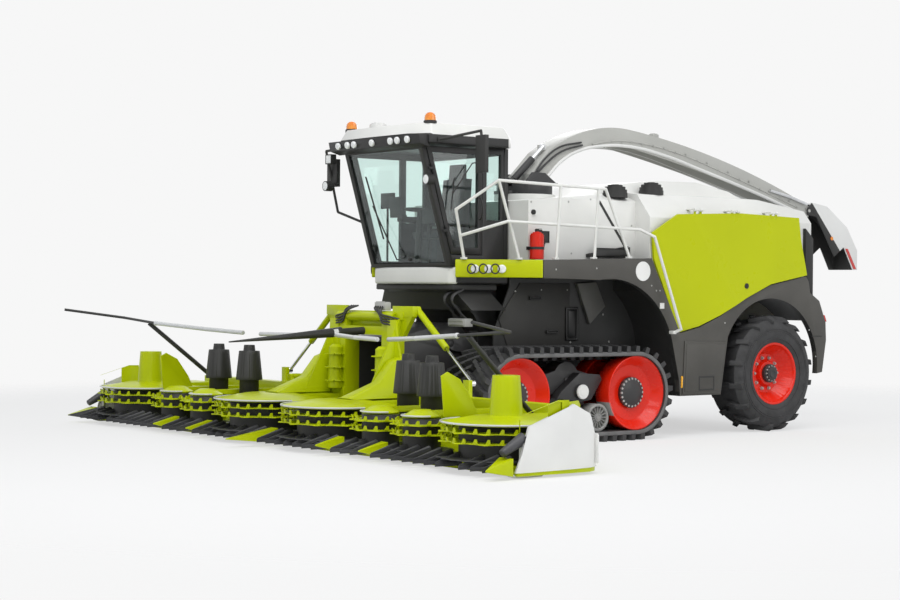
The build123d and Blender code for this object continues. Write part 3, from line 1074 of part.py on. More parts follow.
# Middle section of the header: pan, beam, yoke and the two inner lids
mid_y = WING_Y - WING_GAP
FEED_DRUMS = (1145, 490)      # upright feed drums in front of the yoke
with BuildPart() as header_centre:
    block((BEAM_REAR, BEAM_REAR + BEAM_D), (-mid_y, mid_y), (BEAM_LOW, BEAM_LOW + BEAM_H))
    block((BEAM_REAR + 40, PAN_FRONT), (-mid_y, mid_y), (PAN_LOW, PAN_TOP))
    guards(0, GUARD_STEP, [y for y in range(-7, 8) if y])
    block((BEAM_REAR, BEAM_REAR + 60), (-mid_y, mid_y), (PAN_LOW, BEAM_LOW + 10))
    # Intake opening in the beam, with the yoke round it
    block((BEAM_REAR - 10, BEAM_REAR + BEAM_D + 10), (-370, 370), (240, 1140), mode=Mode.SUBTRACT)
    for y in (1, -1):
        block((BEAM_REAR - 70, BEAM_REAR + 120), (y * 380, y * 520), (PAN_LOW + 200, 1500))
        prism(side(y * 655 + 15), [(BEAM_REAR, 1450), (BEAM_REAR + 80, 1450), (BEAM_REAR + 520, 560), (BEAM_REAR + 520, 500), (BEAM_REAR, 500)], 30)
        # Upright feed drum with its toothed rings, and the sheet that closes the yoke's side
        turned(FEED_DRUMS[0], y * FEED_DRUMS[1], 0, "z", [(610, 0), (610, 92), (1100, 80), (1130, 45), (1130, 0)])
        for z in (690, 850, 1010):
            toothed_ring(FEED_DRUMS[0], y * FEED_DRUMS[1], z, 125, 28, 9, 14)
        gusset = [(510, 1440), (690, 1440), (720, 1180), (800, 960), (980, 790), (1250, 690), (1440, 660), (1440, 560), (510, 560)]
        prism(cross(BEAM_REAR + 110), [(y * width, height) for width, height in gusset], 25)
        # Bright guide tube from the neck of the middle cone
        tube = [(1480, 0, 1257), (1623, 643, 1243), (1740, 1250, 1240)]
        for (x1, y1, z1), (x2, y2, z2) in zip(tube, tube[1:]):
            rod(at(x1, y * y1, z1), at(x2, y * y2, z2), GUIDE_R)
        with Locations(at(tube[1][0], y * tube[1][1], tube[1][2])):
            Sphere(GUIDE_R + 1.5)
        block((FOLD_BRACKET, 1010), (y * 500, y * 900), (1480, 1600))
        prism(cross(FOLD_BRACKET), [(y * 820, 1590), (y * 900, 1590), (y * 900, 1500), (y * 700, 1250), (y * 510, 1000), (y * 510, 1400)], 60)
        top_cover(BIG_X, y * BIG_INNER_Y, 640)
        block((BEAM_REAR - 10, BEAM_REAR + 250), (y * (mid_y - 120), y * mid_y), (BEAM_LOW, WING_PIVOT[1] - 60))
    block((BEAM_REAR - 10, BEAM_REAR + 60), (-720, 720), (1440, 1540))
    block((BEAM_REAR - 60, BEAM_REAR + 120), (-640, 640), (1260, 1360))
    # Long cone in the middle, over the intake
    rod(at(BEAM_REAR, 0, 1310), at(1420, 0, 1285), 45)
    with BuildSketch(Plane(origin=at(1400, 0, 1290), z_dir=(1500, 0, -100))) as cone_root:
        Circle(60)
    extrude(cone_root.sketch, amount=1500, taper=2)
    divider(0, tip_x=2930, tip_z=110, length=640, width=150)
    for y in (1, -1):
        divider(y * (mid_y - 62))
        # Foot pin of the fold cylinder
        rod(at(FOLD_X - 30, y * FOLD_FOOT[0], FOLD_FOOT[1]), at(FOLD_BRACKET + 10, y * FOLD_FOOT[0], FOLD_FOOT[1]), FOOT_PIN_R)
        # Hinge lugs and pin of the wing
        for x in (BEAM_REAR - 10, BEAM_REAR + 170):
            fold_lug(x, y, (mid_y - 110, mid_y - 10))
        rod(at(BEAM_REAR - 8, y * WING_PIVOT[0], WING_PIVOT[1]), at(BEAM_REAR + 208, y * WING_PIVOT[0], WING_PIVOT[1]), FOOT_PIN_R)
    # Coupling faces against the feeder house
    for y in (1, -1):
        block((880, BEAM_REAR - 60), (y * 380, y * 470), (520, 1240))
save(header_centre, "header_centre")

# Round wall behind the outer disc, and the pale hood that wraps the header's end
END_WALL_Y = 3750             # the beam ends here, and a round wall goes on behind the outer disc
END_WALL_R = 735
END_WALL_TOP = 720
HOOD_T = 22
HOOD_PLAN = ((2430, 4425), (2300, 4490), (1700, 4500), (1420, 4480), (1300, 4420), (1222, 4320))
HOOD_SIDE = [(2430, 60), (2430, 330), (2333, 523), (2273, 615), (1841, 742), (1480, 735), (1340, 640), (1240, 450), (1200, 200), (1215, 75)]
with BuildPart() as end_wall:
    turned(BIG_X, BIG_OUTER_Y, 0, "z", [(PAN_TOP - 10, END_WALL_R - 12), (PAN_TOP - 10, END_WALL_R), (END_WALL_TOP, END_WALL_R), (END_WALL_TOP, END_WALL_R - 12)])
    block((BIG_X + 60, 2900), (2900, 4600), (0, 800), mode=Mode.SUBTRACT)
    block((900, 2900), (2900, 3430), (0, 800), mode=Mode.SUBTRACT)
with BuildPart() as hood:
    band = list(HOOD_PLAN) + [(x + 6, y - HOOD_T) for x, y in reversed(HOOD_PLAN)]
    prism(plan(55), band, 700)
    prism(side(4600), HOOD_SIDE, 500, mode=Mode.INTERSECT)
    add(end_wall.part)
    # Webs that carry the hood on the wall and the pan
    for x, inner_y in ((1330, 4240), (2250, 4400)):
        block((x, x + 12), (inner_y, 4490), (PAN_TOP - 10, 560))
    prism(side(4600), [(1180, 50), (1180, 200), (1330, 640), (1500, 735), (1841, 742), (2273, 615), (2430, 330), (2430, 50)], 1200, mode=Mode.INTERSECT)

# Wings of the header: pan, beam, lids, dividers and the guide bow
PAN_END = ((BEAM_REAR + 40, END_WALL_Y - 5), (1235, 4305), (1312, 4408), (1425, 4465), (1700, 4485), (2295, 4476), (PAN_FRONT, 4460), (PAN_FRONT, END_WALL_Y - 5))
BOW_R = 17
for side_name, sign in (("left", 1), ("right", -1)):
    with BuildPart() as wing:
        low_y = sign * (WING_Y + WING_GAP)
        block((BEAM_REAR, BEAM_REAR + BEAM_D), (low_y, sign * END_WALL_Y), (BEAM_LOW, BEAM_LOW + BEAM_H))
        block((BEAM_REAR, BEAM_REAR + 60), (low_y, sign * END_WALL_Y), (PAN_LOW, BEAM_LOW + 10))
        block((BEAM_REAR + 40, PAN_FRONT), (low_y, sign * END_WALL_Y), (PAN_LOW, PAN_TOP))
        prism(plan(PAN_LOW), [(x, sign * y) for x, y in PAN_END], PAN_TOP - PAN_LOW)
        guards(sign * 3000, GUARD_STEP, [y for y in range(-7, 8) if y != -4 and abs(y) != 4])
        add(hood.part if sign > 0 else mirror(hood.part, about=Plane.XZ, mode=Mode.PRIVATE))
        block((BEAM_REAR - 10, BEAM_REAR + 250), (low_y, low_y + sign * 120), (BEAM_LOW, WING_PIVOT[1] - 60))
        top_cover(BIG_X, sign * BIG_OUTER_Y, 640, cone_profile)
        for y in SMALL_Y:
            top_cover(SMALL_X, sign * y, 200)
        divider(sign * 2250)
        divider(sign * 4490, tip_x=2733, tip_z=107, length=330, width=210, root_y=sign * 4385)
        # Post and guide bow
        rod(at(1100, sign * 3200, 480), at(2117, sign * 3400, 1330), 28)
        for sizes in ((GUIDE_R, [(1798, 1555, 1248), (1932, 2250, 1278), (2117, 3214, 1333)]), (BOW_R, [(2117, 3214, 1333), (2131, 4083, 1390), (2835, 4398, 1493)])):
            for (x1, y1, z1), (x2, y2, z2) in zip(sizes[1], sizes[1][1:]):
                rod(at(x1, sign * y1, z1), at(x2, sign * y2, z2), sizes[0])
            with Locations(at(sizes[1][1][0], sign * sizes[1][1][1], sizes[1][1][2])):
                Sphere(sizes[0] + 1.5)
        with Locations(at(2117, sign * 3214, 1333)):
            Sphere(GUIDE_R + 4)
        fold_lug(BEAM_REAR + 35, sign, (WING_Y + 120, WING_Y + 20), 130)
        rod(at(BEAM_REAR, sign * WING_PIVOT[0], WING_PIVOT[1]), at(BEAM_REAR + 200, sign * WING_PIVOT[0], WING_PIVOT[1]), FOOT_PIN_R + RUN / 6, mode=Mode.SUBTRACT)
        # Fold cylinder's lug, beside the rod's eye
        block((BEAM_REAR - 12, BEAM_REAR + 40), (sign * 1850, sign * 1950), (BEAM_LOW + BEAM_H - 10, 800))
    save(wing, f"header_wing_{side_name}")

# Fold cylinders between the yoke and the wings
FOLD_ROD_IN = 635             # inner end of the rod at rest, from the foot
fold_line = Vector(FOLD_EYE[0] - FOLD_FOOT[0], FOLD_EYE[1] - FOLD_FOOT[1])
fold_unit = fold_line.normalized()
for side_name, sign in (("left", 1), ("right", -1)):
    def fold_point(distance, x=FOLD_X):
        return at(x, sign * (FOLD_FOOT[0] + fold_unit.X * distance), FOLD_FOOT[1] + fold_unit.Y * distance)

    with BuildPart() as fold_barrel:
        rod(fold_point(30), fold_point(705), 38)
        rod(fold_point(28), fold_point(706), 20 + RUN, mode=Mode.SUBTRACT)
        rod(fold_point(0, FOLD_X - 24), fold_point(0, FOLD_X + 38), 40)
        rod(fold_point(0, FOLD_X - 26), fold_point(0, FOLD_X + 40), FOOT_PIN_R + RUN / 6, mode=Mode.SUBTRACT)
    save(fold_barrel, f"fold_barrel_{side_name}")
    with BuildPart() as fold_rod:
        rod(fold_point(FOLD_ROD_IN), fold_point(fold_line.length), 20)
        rod(fold_point(fold_line.length, FOLD_X - 20), fold_point(fold_line.length, FOLD_X + 38), 34)
    save(fold_rod, f"fold_rod_{side_name}")

# Lift cylinders under the feeder house, left and right in one piece each for barrel and rod
lift_line = Vector(LIFT_EYE[0] - LIFT_FOOT[0], LIFT_EYE[1] - LIFT_FOOT[1])
lift_unit = lift_line.normalized()
LIFT_BARREL = 850
with BuildPart() as lift_barrels:
    for y in (LIFT_Y, -LIFT_Y):
        rod(along(LIFT_FOOT, lift_unit, 30, y), along(LIFT_FOOT, lift_unit, LIFT_BARREL, y), CYL_HALF - 3)
        rod(along(LIFT_FOOT, lift_unit, 28, y), along(LIFT_FOOT, lift_unit, LIFT_BARREL + 1, y), 28 + RUN, mode=Mode.SUBTRACT)
        rod(at(LIFT_FOOT[0], y - CYL_HALF, LIFT_FOOT[1]), at(LIFT_FOOT[0], y + CYL_HALF, LIFT_FOOT[1]), 42)
        rod(at(LIFT_FOOT[0], y - CYL_HALF - 1, LIFT_FOOT[1]), at(LIFT_FOOT[0], y + CYL_HALF + 1, LIFT_FOOT[1]), FOOT_PIN_R + RUN / 6, mode=Mode.SUBTRACT)
save(lift_barrels, "lift_barrels")
with BuildPart() as lift_rods:
    for y in (LIFT_Y, -LIFT_Y):
        rod(along(LIFT_FOOT, lift_unit, 300, y), along(LIFT_FOOT, lift_unit, lift_line.length, y), 28)
        rod(at(LIFT_EYE[0], y - 30, LIFT_EYE[1]), at(LIFT_EYE[0], y + 30, LIFT_EYE[1]), 38)
save(lift_rods, "lift_rods")
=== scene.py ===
import json
import math

import bmesh
import bpy
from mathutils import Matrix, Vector

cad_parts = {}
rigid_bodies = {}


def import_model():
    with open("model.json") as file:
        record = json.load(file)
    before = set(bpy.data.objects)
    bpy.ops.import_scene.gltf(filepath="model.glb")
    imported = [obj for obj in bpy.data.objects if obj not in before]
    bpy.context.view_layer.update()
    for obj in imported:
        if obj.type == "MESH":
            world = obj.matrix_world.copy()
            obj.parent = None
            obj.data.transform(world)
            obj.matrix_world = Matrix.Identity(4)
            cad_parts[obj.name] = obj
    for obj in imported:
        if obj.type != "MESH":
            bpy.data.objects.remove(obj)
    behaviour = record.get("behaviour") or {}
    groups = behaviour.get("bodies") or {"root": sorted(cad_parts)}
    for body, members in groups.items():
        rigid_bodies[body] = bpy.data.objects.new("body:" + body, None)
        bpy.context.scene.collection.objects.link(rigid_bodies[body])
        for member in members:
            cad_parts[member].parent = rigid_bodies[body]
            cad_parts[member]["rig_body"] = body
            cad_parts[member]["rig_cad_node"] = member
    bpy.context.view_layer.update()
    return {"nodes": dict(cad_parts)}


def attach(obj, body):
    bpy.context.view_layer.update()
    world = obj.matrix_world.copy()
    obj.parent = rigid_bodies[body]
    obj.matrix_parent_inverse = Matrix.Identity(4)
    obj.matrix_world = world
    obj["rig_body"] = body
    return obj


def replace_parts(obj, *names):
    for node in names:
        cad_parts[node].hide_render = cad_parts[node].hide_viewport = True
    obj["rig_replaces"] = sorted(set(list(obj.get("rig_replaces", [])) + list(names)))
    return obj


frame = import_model()
nodes = frame["nodes"]
bpy.ops.object.select_all(action="DESELECT")

# The photographer's camera, a long lens at chest height off the machine's front left corner,
# solved from the machine's own symmetry.
scene = bpy.context.scene
scene.view_settings.view_transform = "Standard"
bpy.ops.object.camera_add(
    location=(15.583, 18.139, 1.809),
    rotation=(math.radians(89.642), math.radians(-0.432), math.radians(143.207))
)
camera = bpy.context.object
camera.name = "photo_camera"
camera.data.lens = 74.213
camera.data.sensor_width = 36
camera.data.clip_end = 500
scene.camera = camera

# The studio: a pale floor that keeps the machine's soft shadow and fades out into a white surround,
# lit by the surround itself.
SURROUND_WHITE = (0.930, 0.930, 0.930, 1)
FLOOR_GLOW = 0.62             # share of the floor's plain white, so that the shadow stays soft
FADE_START = 9.0
FADE_END = 15.0


def new_material(name):
    """An empty node material with its shader and output."""
    material = bpy.data.materials.new(name)
    material.use_nodes = True
    tree = material.node_tree
    return material, tree, tree.nodes["Principled BSDF"]


bpy.ops.mesh.primitive_plane_add(size=2 * FADE_END + 4, location=(0, 0, 0))
floor = bpy.context.object
floor.name = "studio_floor"
floor_material, tree, shader = new_material("studio_floor_paint")
shader.inputs["Base Color"].default_value = (0.80, 0.80, 0.80, 1)
shader.inputs["Roughness"].default_value = 0.95
shader.inputs["Specular IOR Level"].default_value = 0.0
glow = tree.nodes.new("ShaderNodeEmission")
glow.inputs["Color"].default_value = SURROUND_WHITE
path = tree.nodes.new("ShaderNodeLightPath")
share = tree.nodes.new("ShaderNodeMath")
share.operation = "MULTIPLY"
share.inputs[1].default_value = FLOOR_GLOW
plain = tree.nodes.new("ShaderNodeMixShader")
tree.links.new(path.outputs["Is Camera Ray"], share.inputs[0])
tree.links.new(share.outputs[0], plain.inputs[0])
tree.links.new(shader.outputs[0], plain.inputs[1])
tree.links.new(glow.outputs[0], plain.inputs[2])
place = tree.nodes.new("ShaderNodeTexCoord")
reach = tree.nodes.new("ShaderNodeVectorMath")
reach.operation = "LENGTH"
fade = tree.nodes.new("ShaderNodeMapRange")
fade.inputs["From Min"].default_value = FADE_START
fade.inputs["From Max"].default_value = FADE_END
fade.interpolation_type = "SMOOTHSTEP"
clear = tree.nodes.new("ShaderNodeBsdfTransparent")
edge = tree.nodes.new("ShaderNodeMixShader")
tree.links.new(place.outputs["Object"], reach.inputs[0])
tree.links.new(reach.outputs["Value"], fade.inputs["Value"])
tree.links.new(fade.outputs["Result"], edge.inputs[0])
tree.links.new(plain.outputs[0], edge.inputs[1])
tree.links.new(clear.outputs[0], edge.inputs[2])
tree.links.new(edge.outputs[0], tree.nodes["Material Output"].inputs["Surface"])
floor.data.materials.append(floor_material)

world = bpy.data.worlds.new("studio_surround")
scene.world = world
world.use_nodes = True
tree = world.node_tree
background = tree.nodes["Background"]
background.inputs["Color"].default_value = (0.93, 0.96, 1.0, 1)
background.inputs["Strength"].default_value = 0.46
white = tree.nodes.new("ShaderNodeBackground")
white.inputs["Color"].default_value = SURROUND_WHITE
white.inputs["Strength"].default_value = 1.0
path = tree.nodes.new("ShaderNodeLightPath")
either = tree.nodes.new("ShaderNodeMath")
either.operation = "MAXIMUM"
any_ray = tree.nodes.new("ShaderNodeMath")
any_ray.operation = "MAXIMUM"
blend = tree.nodes.new("ShaderNodeMixShader")
tree.links.new(path.outputs["Is Camera Ray"], either.inputs[0])
tree.links.new(path.outputs["Is Transmission Ray"], either.inputs[1])
tree.links.new(either.outputs[0], any_ray.inputs[0])
tree.links.new(path.outputs["Is Glossy Ray"], any_ray.inputs[1])
tree.links.new(any_ray.outputs[0], blend.inputs[0])
tree.links.new(background.outputs[0], blend.inputs[1])
tree.links.new(white.outputs[0], blend.inputs[2])
tree.links.new(blend.outputs[0], tree.nodes["World Output"].inputs["Surface"])

# Three large soft boxes, one high over the front, one on the seen side and one behind for the edges,
# and a broad overhead light.
SOFT_BOXES = (
    ("box_over_front", (9.0, 6.0, 9.0), (1.0, 1.0, 1.0), 9.0, 560),
    ("box_seen_side", (-3.0, 13.0, 6.5), (-1.0, 0.0, 1.4), 8.0, 330),
    ("box_behind", (-8.0, -9.0, 8.0), (-1.0, 0.0, 2.0), 7.0, 280),
)
for name, box_place, target, size, power in SOFT_BOXES:
    aim = (Vector(target) - Vector(box_place)).to_track_quat("-Z", "Y").to_euler()
    bpy.ops.object.light_add(type="AREA", location=box_place, rotation=aim)
    lamp = bpy.context.object
    lamp.name = name
    lamp.data.size = size
    lamp.data.energy = power
bpy.ops.object.light_add(
    type="SUN", location=(0, 0, 20), rotation=(math.radians(24), math.radians(8), math.radians(150))
)
bpy.context.object.name = "overhead_light"
bpy.context.object.data.energy = 1.0
bpy.context.object.data.angle = math.radians(40)

# Chassis: welded box rails, cross members, the axle beam and the knuckles under the body, sprayed in
# satin black enamel after welding, with their corners eased.
AXLE_BLACK = (0.035, 0.035, 0.036, 1)
SMOOTH_ANGLE = math.radians(34)


def shade_ramp(tree, source, low, high, start=0.3, end=0.7):
    """Spread a noise value between two colours."""
    ramp = tree.nodes.new("ShaderNodeValToRGB")
    ramp.color_ramp.elements[0].position = start
    ramp.color_ramp.elements[1].position = end
    ramp.color_ramp.elements[0].color = low
    ramp.color_ramp.elements[1].color = high
    tree.links.new(source, ramp.inputs["Fac"])
    return ramp.outputs["Color"]


def ramped(tree, shader, key, source, low, high):
    """Let a noise value drive one of the shader's inputs between two colours."""
    tree.links.new(shade_ramp(tree, source, low, high), shader.inputs[key])


def noise(tree, scale, detail=3.0):
    """Noise on the piece's own coordinates."""
    place = tree.nodes.new("ShaderNodeTexCoord")
    texture = tree.nodes.new("ShaderNodeTexNoise")
    texture.inputs["Scale"].default_value = scale
    texture.inputs["Detail"].default_value = detail
    tree.links.new(place.outputs["Object"], texture.inputs["Vector"])
    return texture.outputs["Fac"]


def bump(tree, shader, source, strength, distance):
    """Raise the surface by a height value."""
    relief = tree.nodes.new("ShaderNodeBump")
    relief.inputs["Strength"].default_value = strength
    relief.inputs["Distance"].default_value = distance
    tree.links.new(source, relief.inputs["Height"])
    tree.links.new(relief.outputs["Normal"], shader.inputs["Normal"])


def tinted(colour, factor):
    """The colour, darker or lighter."""
    return (*[min(1, c * factor) for c in colour[:3]], 1)


def paint(name, colour, rough=0.32, coat=0.2, wear=0.06, peel=0.04, shine=0.35):
    """Sprayed enamel: a slight drift of shade, uneven gloss and fine orange peel."""
    material, tree, shader = new_material(name)
    drift = noise(tree, 1.3, 4.0)
    ramped(tree, shader, "Base Color", drift, tinted(colour, 1 - wear), tinted(colour, 1 + wear))
    gloss = shade_ramp(tree, noise(tree, 5.0), (rough * 0.85,) * 3 + (1,), (rough * 1.2,) * 3 + (1,))
    tree.links.new(gloss, shader.inputs["Roughness"])
    shader.inputs["Specular IOR Level"].default_value = shine
    shader.inputs["Coat Weight"].default_value = coat
    shader.inputs["Coat Roughness"].default_value = 0.08
    bump(tree, shader, noise(tree, 160.0, 2.0), peel, 0.002)
    return material


def chosen(piece):
    """Make one piece the only selected one."""
    bpy.ops.object.select_all(action="DESELECT")
    piece.select_set(True)
    bpy.context.view_layer.objects.active = piece


def applied():
    """Fix the active piece's place, turn and size in its mesh."""
    bpy.ops.object.transform_apply(location=True, rotation=True, scale=True)
    return bpy.context.object


def edit_all():
    """Go into edit mode with everything selected."""
    bpy.ops.object.mode_set(mode="EDIT")
    bpy.ops.mesh.select_all(action="SELECT")


def leave_edit():
    """Go back to object mode."""
    bpy.ops.object.mode_set(mode="OBJECT")


def faced_out():
    """Turn the active piece's faces outwards."""
    edit_all()
    bpy.ops.mesh.normals_make_consistent(inside=False)
    leave_edit()


def cut_through(piece, place, direction):
    """Cut a piece's faces along a plane, so that one side can be finished differently."""
    chosen(piece)
    edit_all()
    bpy.ops.mesh.bisect(plane_co=place, plane_no=direction)
    leave_edit()


def cuboid(place, size, turn=(0, 0, 0)):
    """A block in place, ready for shaping."""
    bpy.ops.mesh.primitive_cube_add(size=1, location=place, rotation=turn, scale=size)
    return applied()


ACROSS = (math.radians(-90), 0, 0)    # turns an upright cylinder to lie across the machine


def round_bar(vertices, radius, depth, place, turn=(0, 0, 0)):
    """A cylinder in place, ready for shaping."""
    bpy.ops.mesh.primitive_cylinder_add(
        vertices=vertices, radius=radius, depth=depth, location=place, rotation=turn
    )
    return applied()


def eased(piece, width, segments=2, angle=30):
    """Round a piece's edges, as a press, a mould or a file leaves them."""
    chosen(piece)
    edge = piece.modifiers.new("eased_edge", "BEVEL")
    edge.width = width
    edge.segments = segments
    edge.limit_method = "ANGLE"
    edge.angle_limit = math.radians(angle)
    bpy.ops.object.modifier_apply(modifier="eased_edge")


def softened(node, material, width, angle=32, segments=2):
    """Copy a carried-over part, weld it, round its edges and let it stand for the part."""
    source = nodes[node]
    chosen(source)
    bpy.ops.object.duplicate()
    copy = bpy.context.object
    copy.name = "finished_" + node
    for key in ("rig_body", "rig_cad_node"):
        del copy[key]
    bpy.ops.object.parent_clear(type="CLEAR_KEEP_TRANSFORM")
    edit_all()
    bpy.ops.mesh.remove_doubles(threshold=0.00002)
    bpy.ops.mesh.dissolve_limited(angle_limit=math.radians(0.6))
    leave_edit()
    eased(copy, width, segments, angle)
    bpy.ops.object.shade_smooth_by_angle(angle=SMOOTH_ANGLE)
    copy.data.materials.clear()
    copy.data.materials.append(material)
    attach(copy, source["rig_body"])
    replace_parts(copy, node)
    return copy


axle_paint = paint("axle_enamel", AXLE_BLACK, rough=0.45, coat=0.1)
for name in ("chassis_frame", "rear_axle", "knuckle_left", "knuckle_right", "bogies"):
    softened(name, axle_paint, 0.004)
block_casting = paint("block_casting", (0.10, 0.10, 0.105, 1), rough=0.6, coat=0.0, wear=0.2, peel=0.4)
softened("engine", block_casting, 0.02)

# Rubber tracks: an endless moulded belt over the track wheels, with slanting tread bars outside that
# leave off at the belt's middle and a row of guide blocks inside.
STATION = 2.21                # the front track wheel's centre ahead of the origin
TRACK_Z = 0.5693
TRACK_BASE = 1.8
BELT_INNER_R = 0.4473
BELT_T = 0.05
BELT_IN_Y, BELT_OUT_Y = 0.85, 1.65
BARS = 45
BAR_HEIGHT = 0.0718


def rubber(name, colour, rough=0.78, dust=1.5):
    """Moulded rubber, slightly dusty on its high spots."""
    material, tree, shader = new_material(name)
    drift = noise(tree, 6.0, 5.0)
    ramped(tree, shader, "Base Color", drift, tinted(colour, 0.8), tinted(colour, dust))
    shader.inputs["Roughness"].default_value = rough
    bump(tree, shader, noise(tree, 90.0, 4.0), 0.2, 0.002)
    return material


def finished(piece, name, material, body, keep_faceted=False):
    """Fix a piece's place in its mesh, and give it its finish and the body it rides on."""
    piece.name = name
    chosen(piece)
    applied()
    faced_out()
    if not keep_faceted:
        bpy.ops.object.shade_smooth_by_angle(angle=SMOOTH_ANGLE)
    piece.data.materials.clear()
    piece.data.materials.append(material)
    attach(piece, body)
    return piece


def twin(piece, name, body=None):
    """The same piece on the machine's right-hand side, with its own mesh."""
    chosen(piece)
    bpy.ops.object.duplicate()
    copy = bpy.context.object
    copy.name = name
    copy.scale.y = -1
    bpy.ops.object.transform_apply(location=False, rotation=False, scale=True)
    faced_out()
    if "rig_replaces" in copy:
        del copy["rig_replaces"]
    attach(copy, body or piece["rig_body"])
    return copy


def paired(piece, name, material):
    """Finish a piece of the harvester's left side, and set its twin on the right."""
    finished(piece, name + "_left", material, "harvester")
    twin(piece, name + "_right")


def pick(piece, wanted):
    """Go into edit mode with just the faces selected whose middle and direction suit."""
    chosen(piece)
    bpy.ops.object.mode_set(mode="EDIT")
    bpy.ops.mesh.select_mode(type="FACE")
    bpy.ops.mesh.select_all(action="DESELECT")
    mesh = bmesh.from_edit_mesh(piece.data)
    for face in mesh.faces:
        face.select_set(bool(wanted(face.calc_center_median(), face.normal)))
    bmesh.update_edit_mesh(piece.data)


def stepped(piece, facing, steps):
    """Shape a flat end: each step insets it, then pushes it out or in along its own direction."""
    facing = Vector(facing).normalized()
    pick(piece, lambda middle, normal: normal.dot(facing) > 0.98)
    for inset, push in steps:
        if inset:
            bpy.ops.mesh.inset(thickness=inset)
        if push:
            bpy.ops.mesh.extrude_region_move(TRANSFORM_OT_translate={"value": facing * push})
    leave_edit()


def joined(pieces):
    """Join copies into one piece."""
    bpy.ops.object.select_all(action="DESELECT")
    for piece in pieces:
        piece.select_set(True)
    bpy.context.view_layer.objects.active = pieces[0]
    bpy.ops.object.join()
    return applied()


def repeated(piece, places):
    """Set a copy of a piece at each place and turn, and join the copies."""
    copies = []
    for place, turn in places:
        chosen(piece)
        bpy.ops.object.duplicate()
        copy = bpy.context.object
        copy.location = place
        copy.rotation_euler = turn
        copies.append(copy)
    bpy.data.objects.remove(piece)
    return joined(copies)


def loop_place(share, radius):
    """Place and turn on the track's loop, at a share of its length and a distance from its core."""
    arc = math.pi * radius
    along = share % 1 * 2 * (TRACK_BASE + arc)
    if along < TRACK_BASE:
        return (STATION - TRACK_BASE + along, 0, TRACK_Z - radius), (0, 0, 0)
    along -= TRACK_BASE
    if along < arc:
        turn = along / radius
        return (STATION + radius * math.sin(turn), 0, TRACK_Z - radius * math.cos(turn)), (0, -turn, 0)
    along -= arc
    if along < TRACK_BASE:
        return (STATION - along, 0, TRACK_Z + radius), (0, math.pi, 0)
    turn = (along - TRACK_BASE) / radius
    return (
        STATION - TRACK_BASE - radius * math.sin(turn), 0, TRACK_Z + radius * math.cos(turn)
    ), (0, math.pi - turn, 0)


belt_rubber = rubber("belt_rubber", (0.030, 0.030, 0.031, 1), rough=0.62)
bpy.ops.mesh.primitive_circle_add(
    vertices=60, radius=BELT_INNER_R, location=(STATION, BELT_OUT_Y, TRACK_Z),
    rotation=(math.radians(90), math.radians(3), 0)
)
carcass = applied()
bpy.ops.object.mode_set(mode="EDIT")
bpy.ops.mesh.select_all(action="DESELECT")
mesh = bmesh.from_edit_mesh(carcass.data)
for vertex in mesh.verts:
    vertex.select_set(vertex.co.x < STATION)
bmesh.update_edit_mesh(carcass.data)
bpy.ops.transform.translate(value=(-TRACK_BASE, 0, 0))
bpy.ops.mesh.select_all(action="SELECT")
bpy.ops.mesh.extrude_region_move(TRANSFORM_OT_translate={"value": (0, BELT_IN_Y - BELT_OUT_Y, 0)})
bpy.ops.mesh.select_all(action="SELECT")
bpy.ops.mesh.normals_make_consistent(inside=False)
leave_edit()
wall = carcass.modifiers.new("belt_thickness", "SOLIDIFY")
wall.thickness = BELT_T
wall.offset = 1
bpy.ops.object.modifier_apply(modifier="belt_thickness")
eased(carcass, 0.012, 3, 50)
finished(carcass, "belt_carcass_left", belt_rubber, "harvester")
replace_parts(carcass, "track_belt_left")
edge_rubber = rubber("belt_edge_rubber", (0.13, 0.13, 0.13, 1), rough=0.7, dust=1.2)


def parted(copy, name, material, node, wanted):
    """Part off the faces of a piece that is finished differently."""
    before = set(bpy.data.objects)
    pick(copy, wanted)
    bpy.ops.mesh.separate(type="SELECTED")
    leave_edit()
    piece = next(thing for thing in bpy.data.objects if thing not in before)
    piece.name = name
    piece.data.materials.clear()
    piece.data.materials.append(material)
    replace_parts(piece, node)
    return piece


band = parted(
    carcass, "belt_edge_left", edge_rubber, "track_belt_left",
    lambda middle, normal: normal.y > 0.6
)
tread_bars = []
SLANT = math.tan(math.radians(30))
for low_y, high_y, lead in ((1.235, BELT_OUT_Y, 1), (BELT_IN_Y, 1.265, -1)):
    for step_y in range(5):
        near_y = low_y + (high_y - low_y) * step_y / 5
        far_y = low_y + (high_y - low_y) * (step_y + 1) / 5
        middle_y = (near_y + far_y) / 2
        bar_piece = cuboid(
            (0, middle_y, -BAR_HEIGHT / 2 + 0.006), (0.056, 0.30, BAR_HEIGHT + 0.004),
            (0, 0, math.radians(30 * lead))
        )
        bpy.ops.object.mode_set(mode="EDIT")
        for edge_y, facing in ((far_y, 1), (near_y, -1)):
            bpy.ops.mesh.select_all(action="SELECT")
            bpy.ops.mesh.bisect(
                plane_co=(0, edge_y, 0), plane_no=(0, facing, 0), use_fill=True, clear_outer=True
            )
        leave_edit()
        stepped(bar_piece, (0, 0, -1), ((0.006, 0.0),))
        pick(bar_piece, lambda middle, normal: normal.z < -0.98)
        bpy.ops.transform.resize(value=(0.82, 1, 1))
        leave_edit()
        lag = SLANT * lead * (middle_y - 1.25) / (2 * (TRACK_BASE + math.pi * (BELT_INNER_R + BELT_T)))
        offset = 0 if lead > 0 else 0.5
        places = [loop_place((i + offset) / BARS - lag, BELT_INNER_R + BELT_T) for i in range(BARS)]
        tread_bars.append(repeated(bar_piece, places))
bars_left = finished(joined(tread_bars), "belt_bars_left", belt_rubber, "harvester")
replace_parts(bars_left, "track_belt_left")
guide = cuboid((0, 1.25, 0.027), (0.075, 0.09, 0.062))
eased(guide, 0.016, 2, 40)
guides_left = repeated(guide, [loop_place(i / BARS, BELT_INNER_R) for i in range(BARS)])
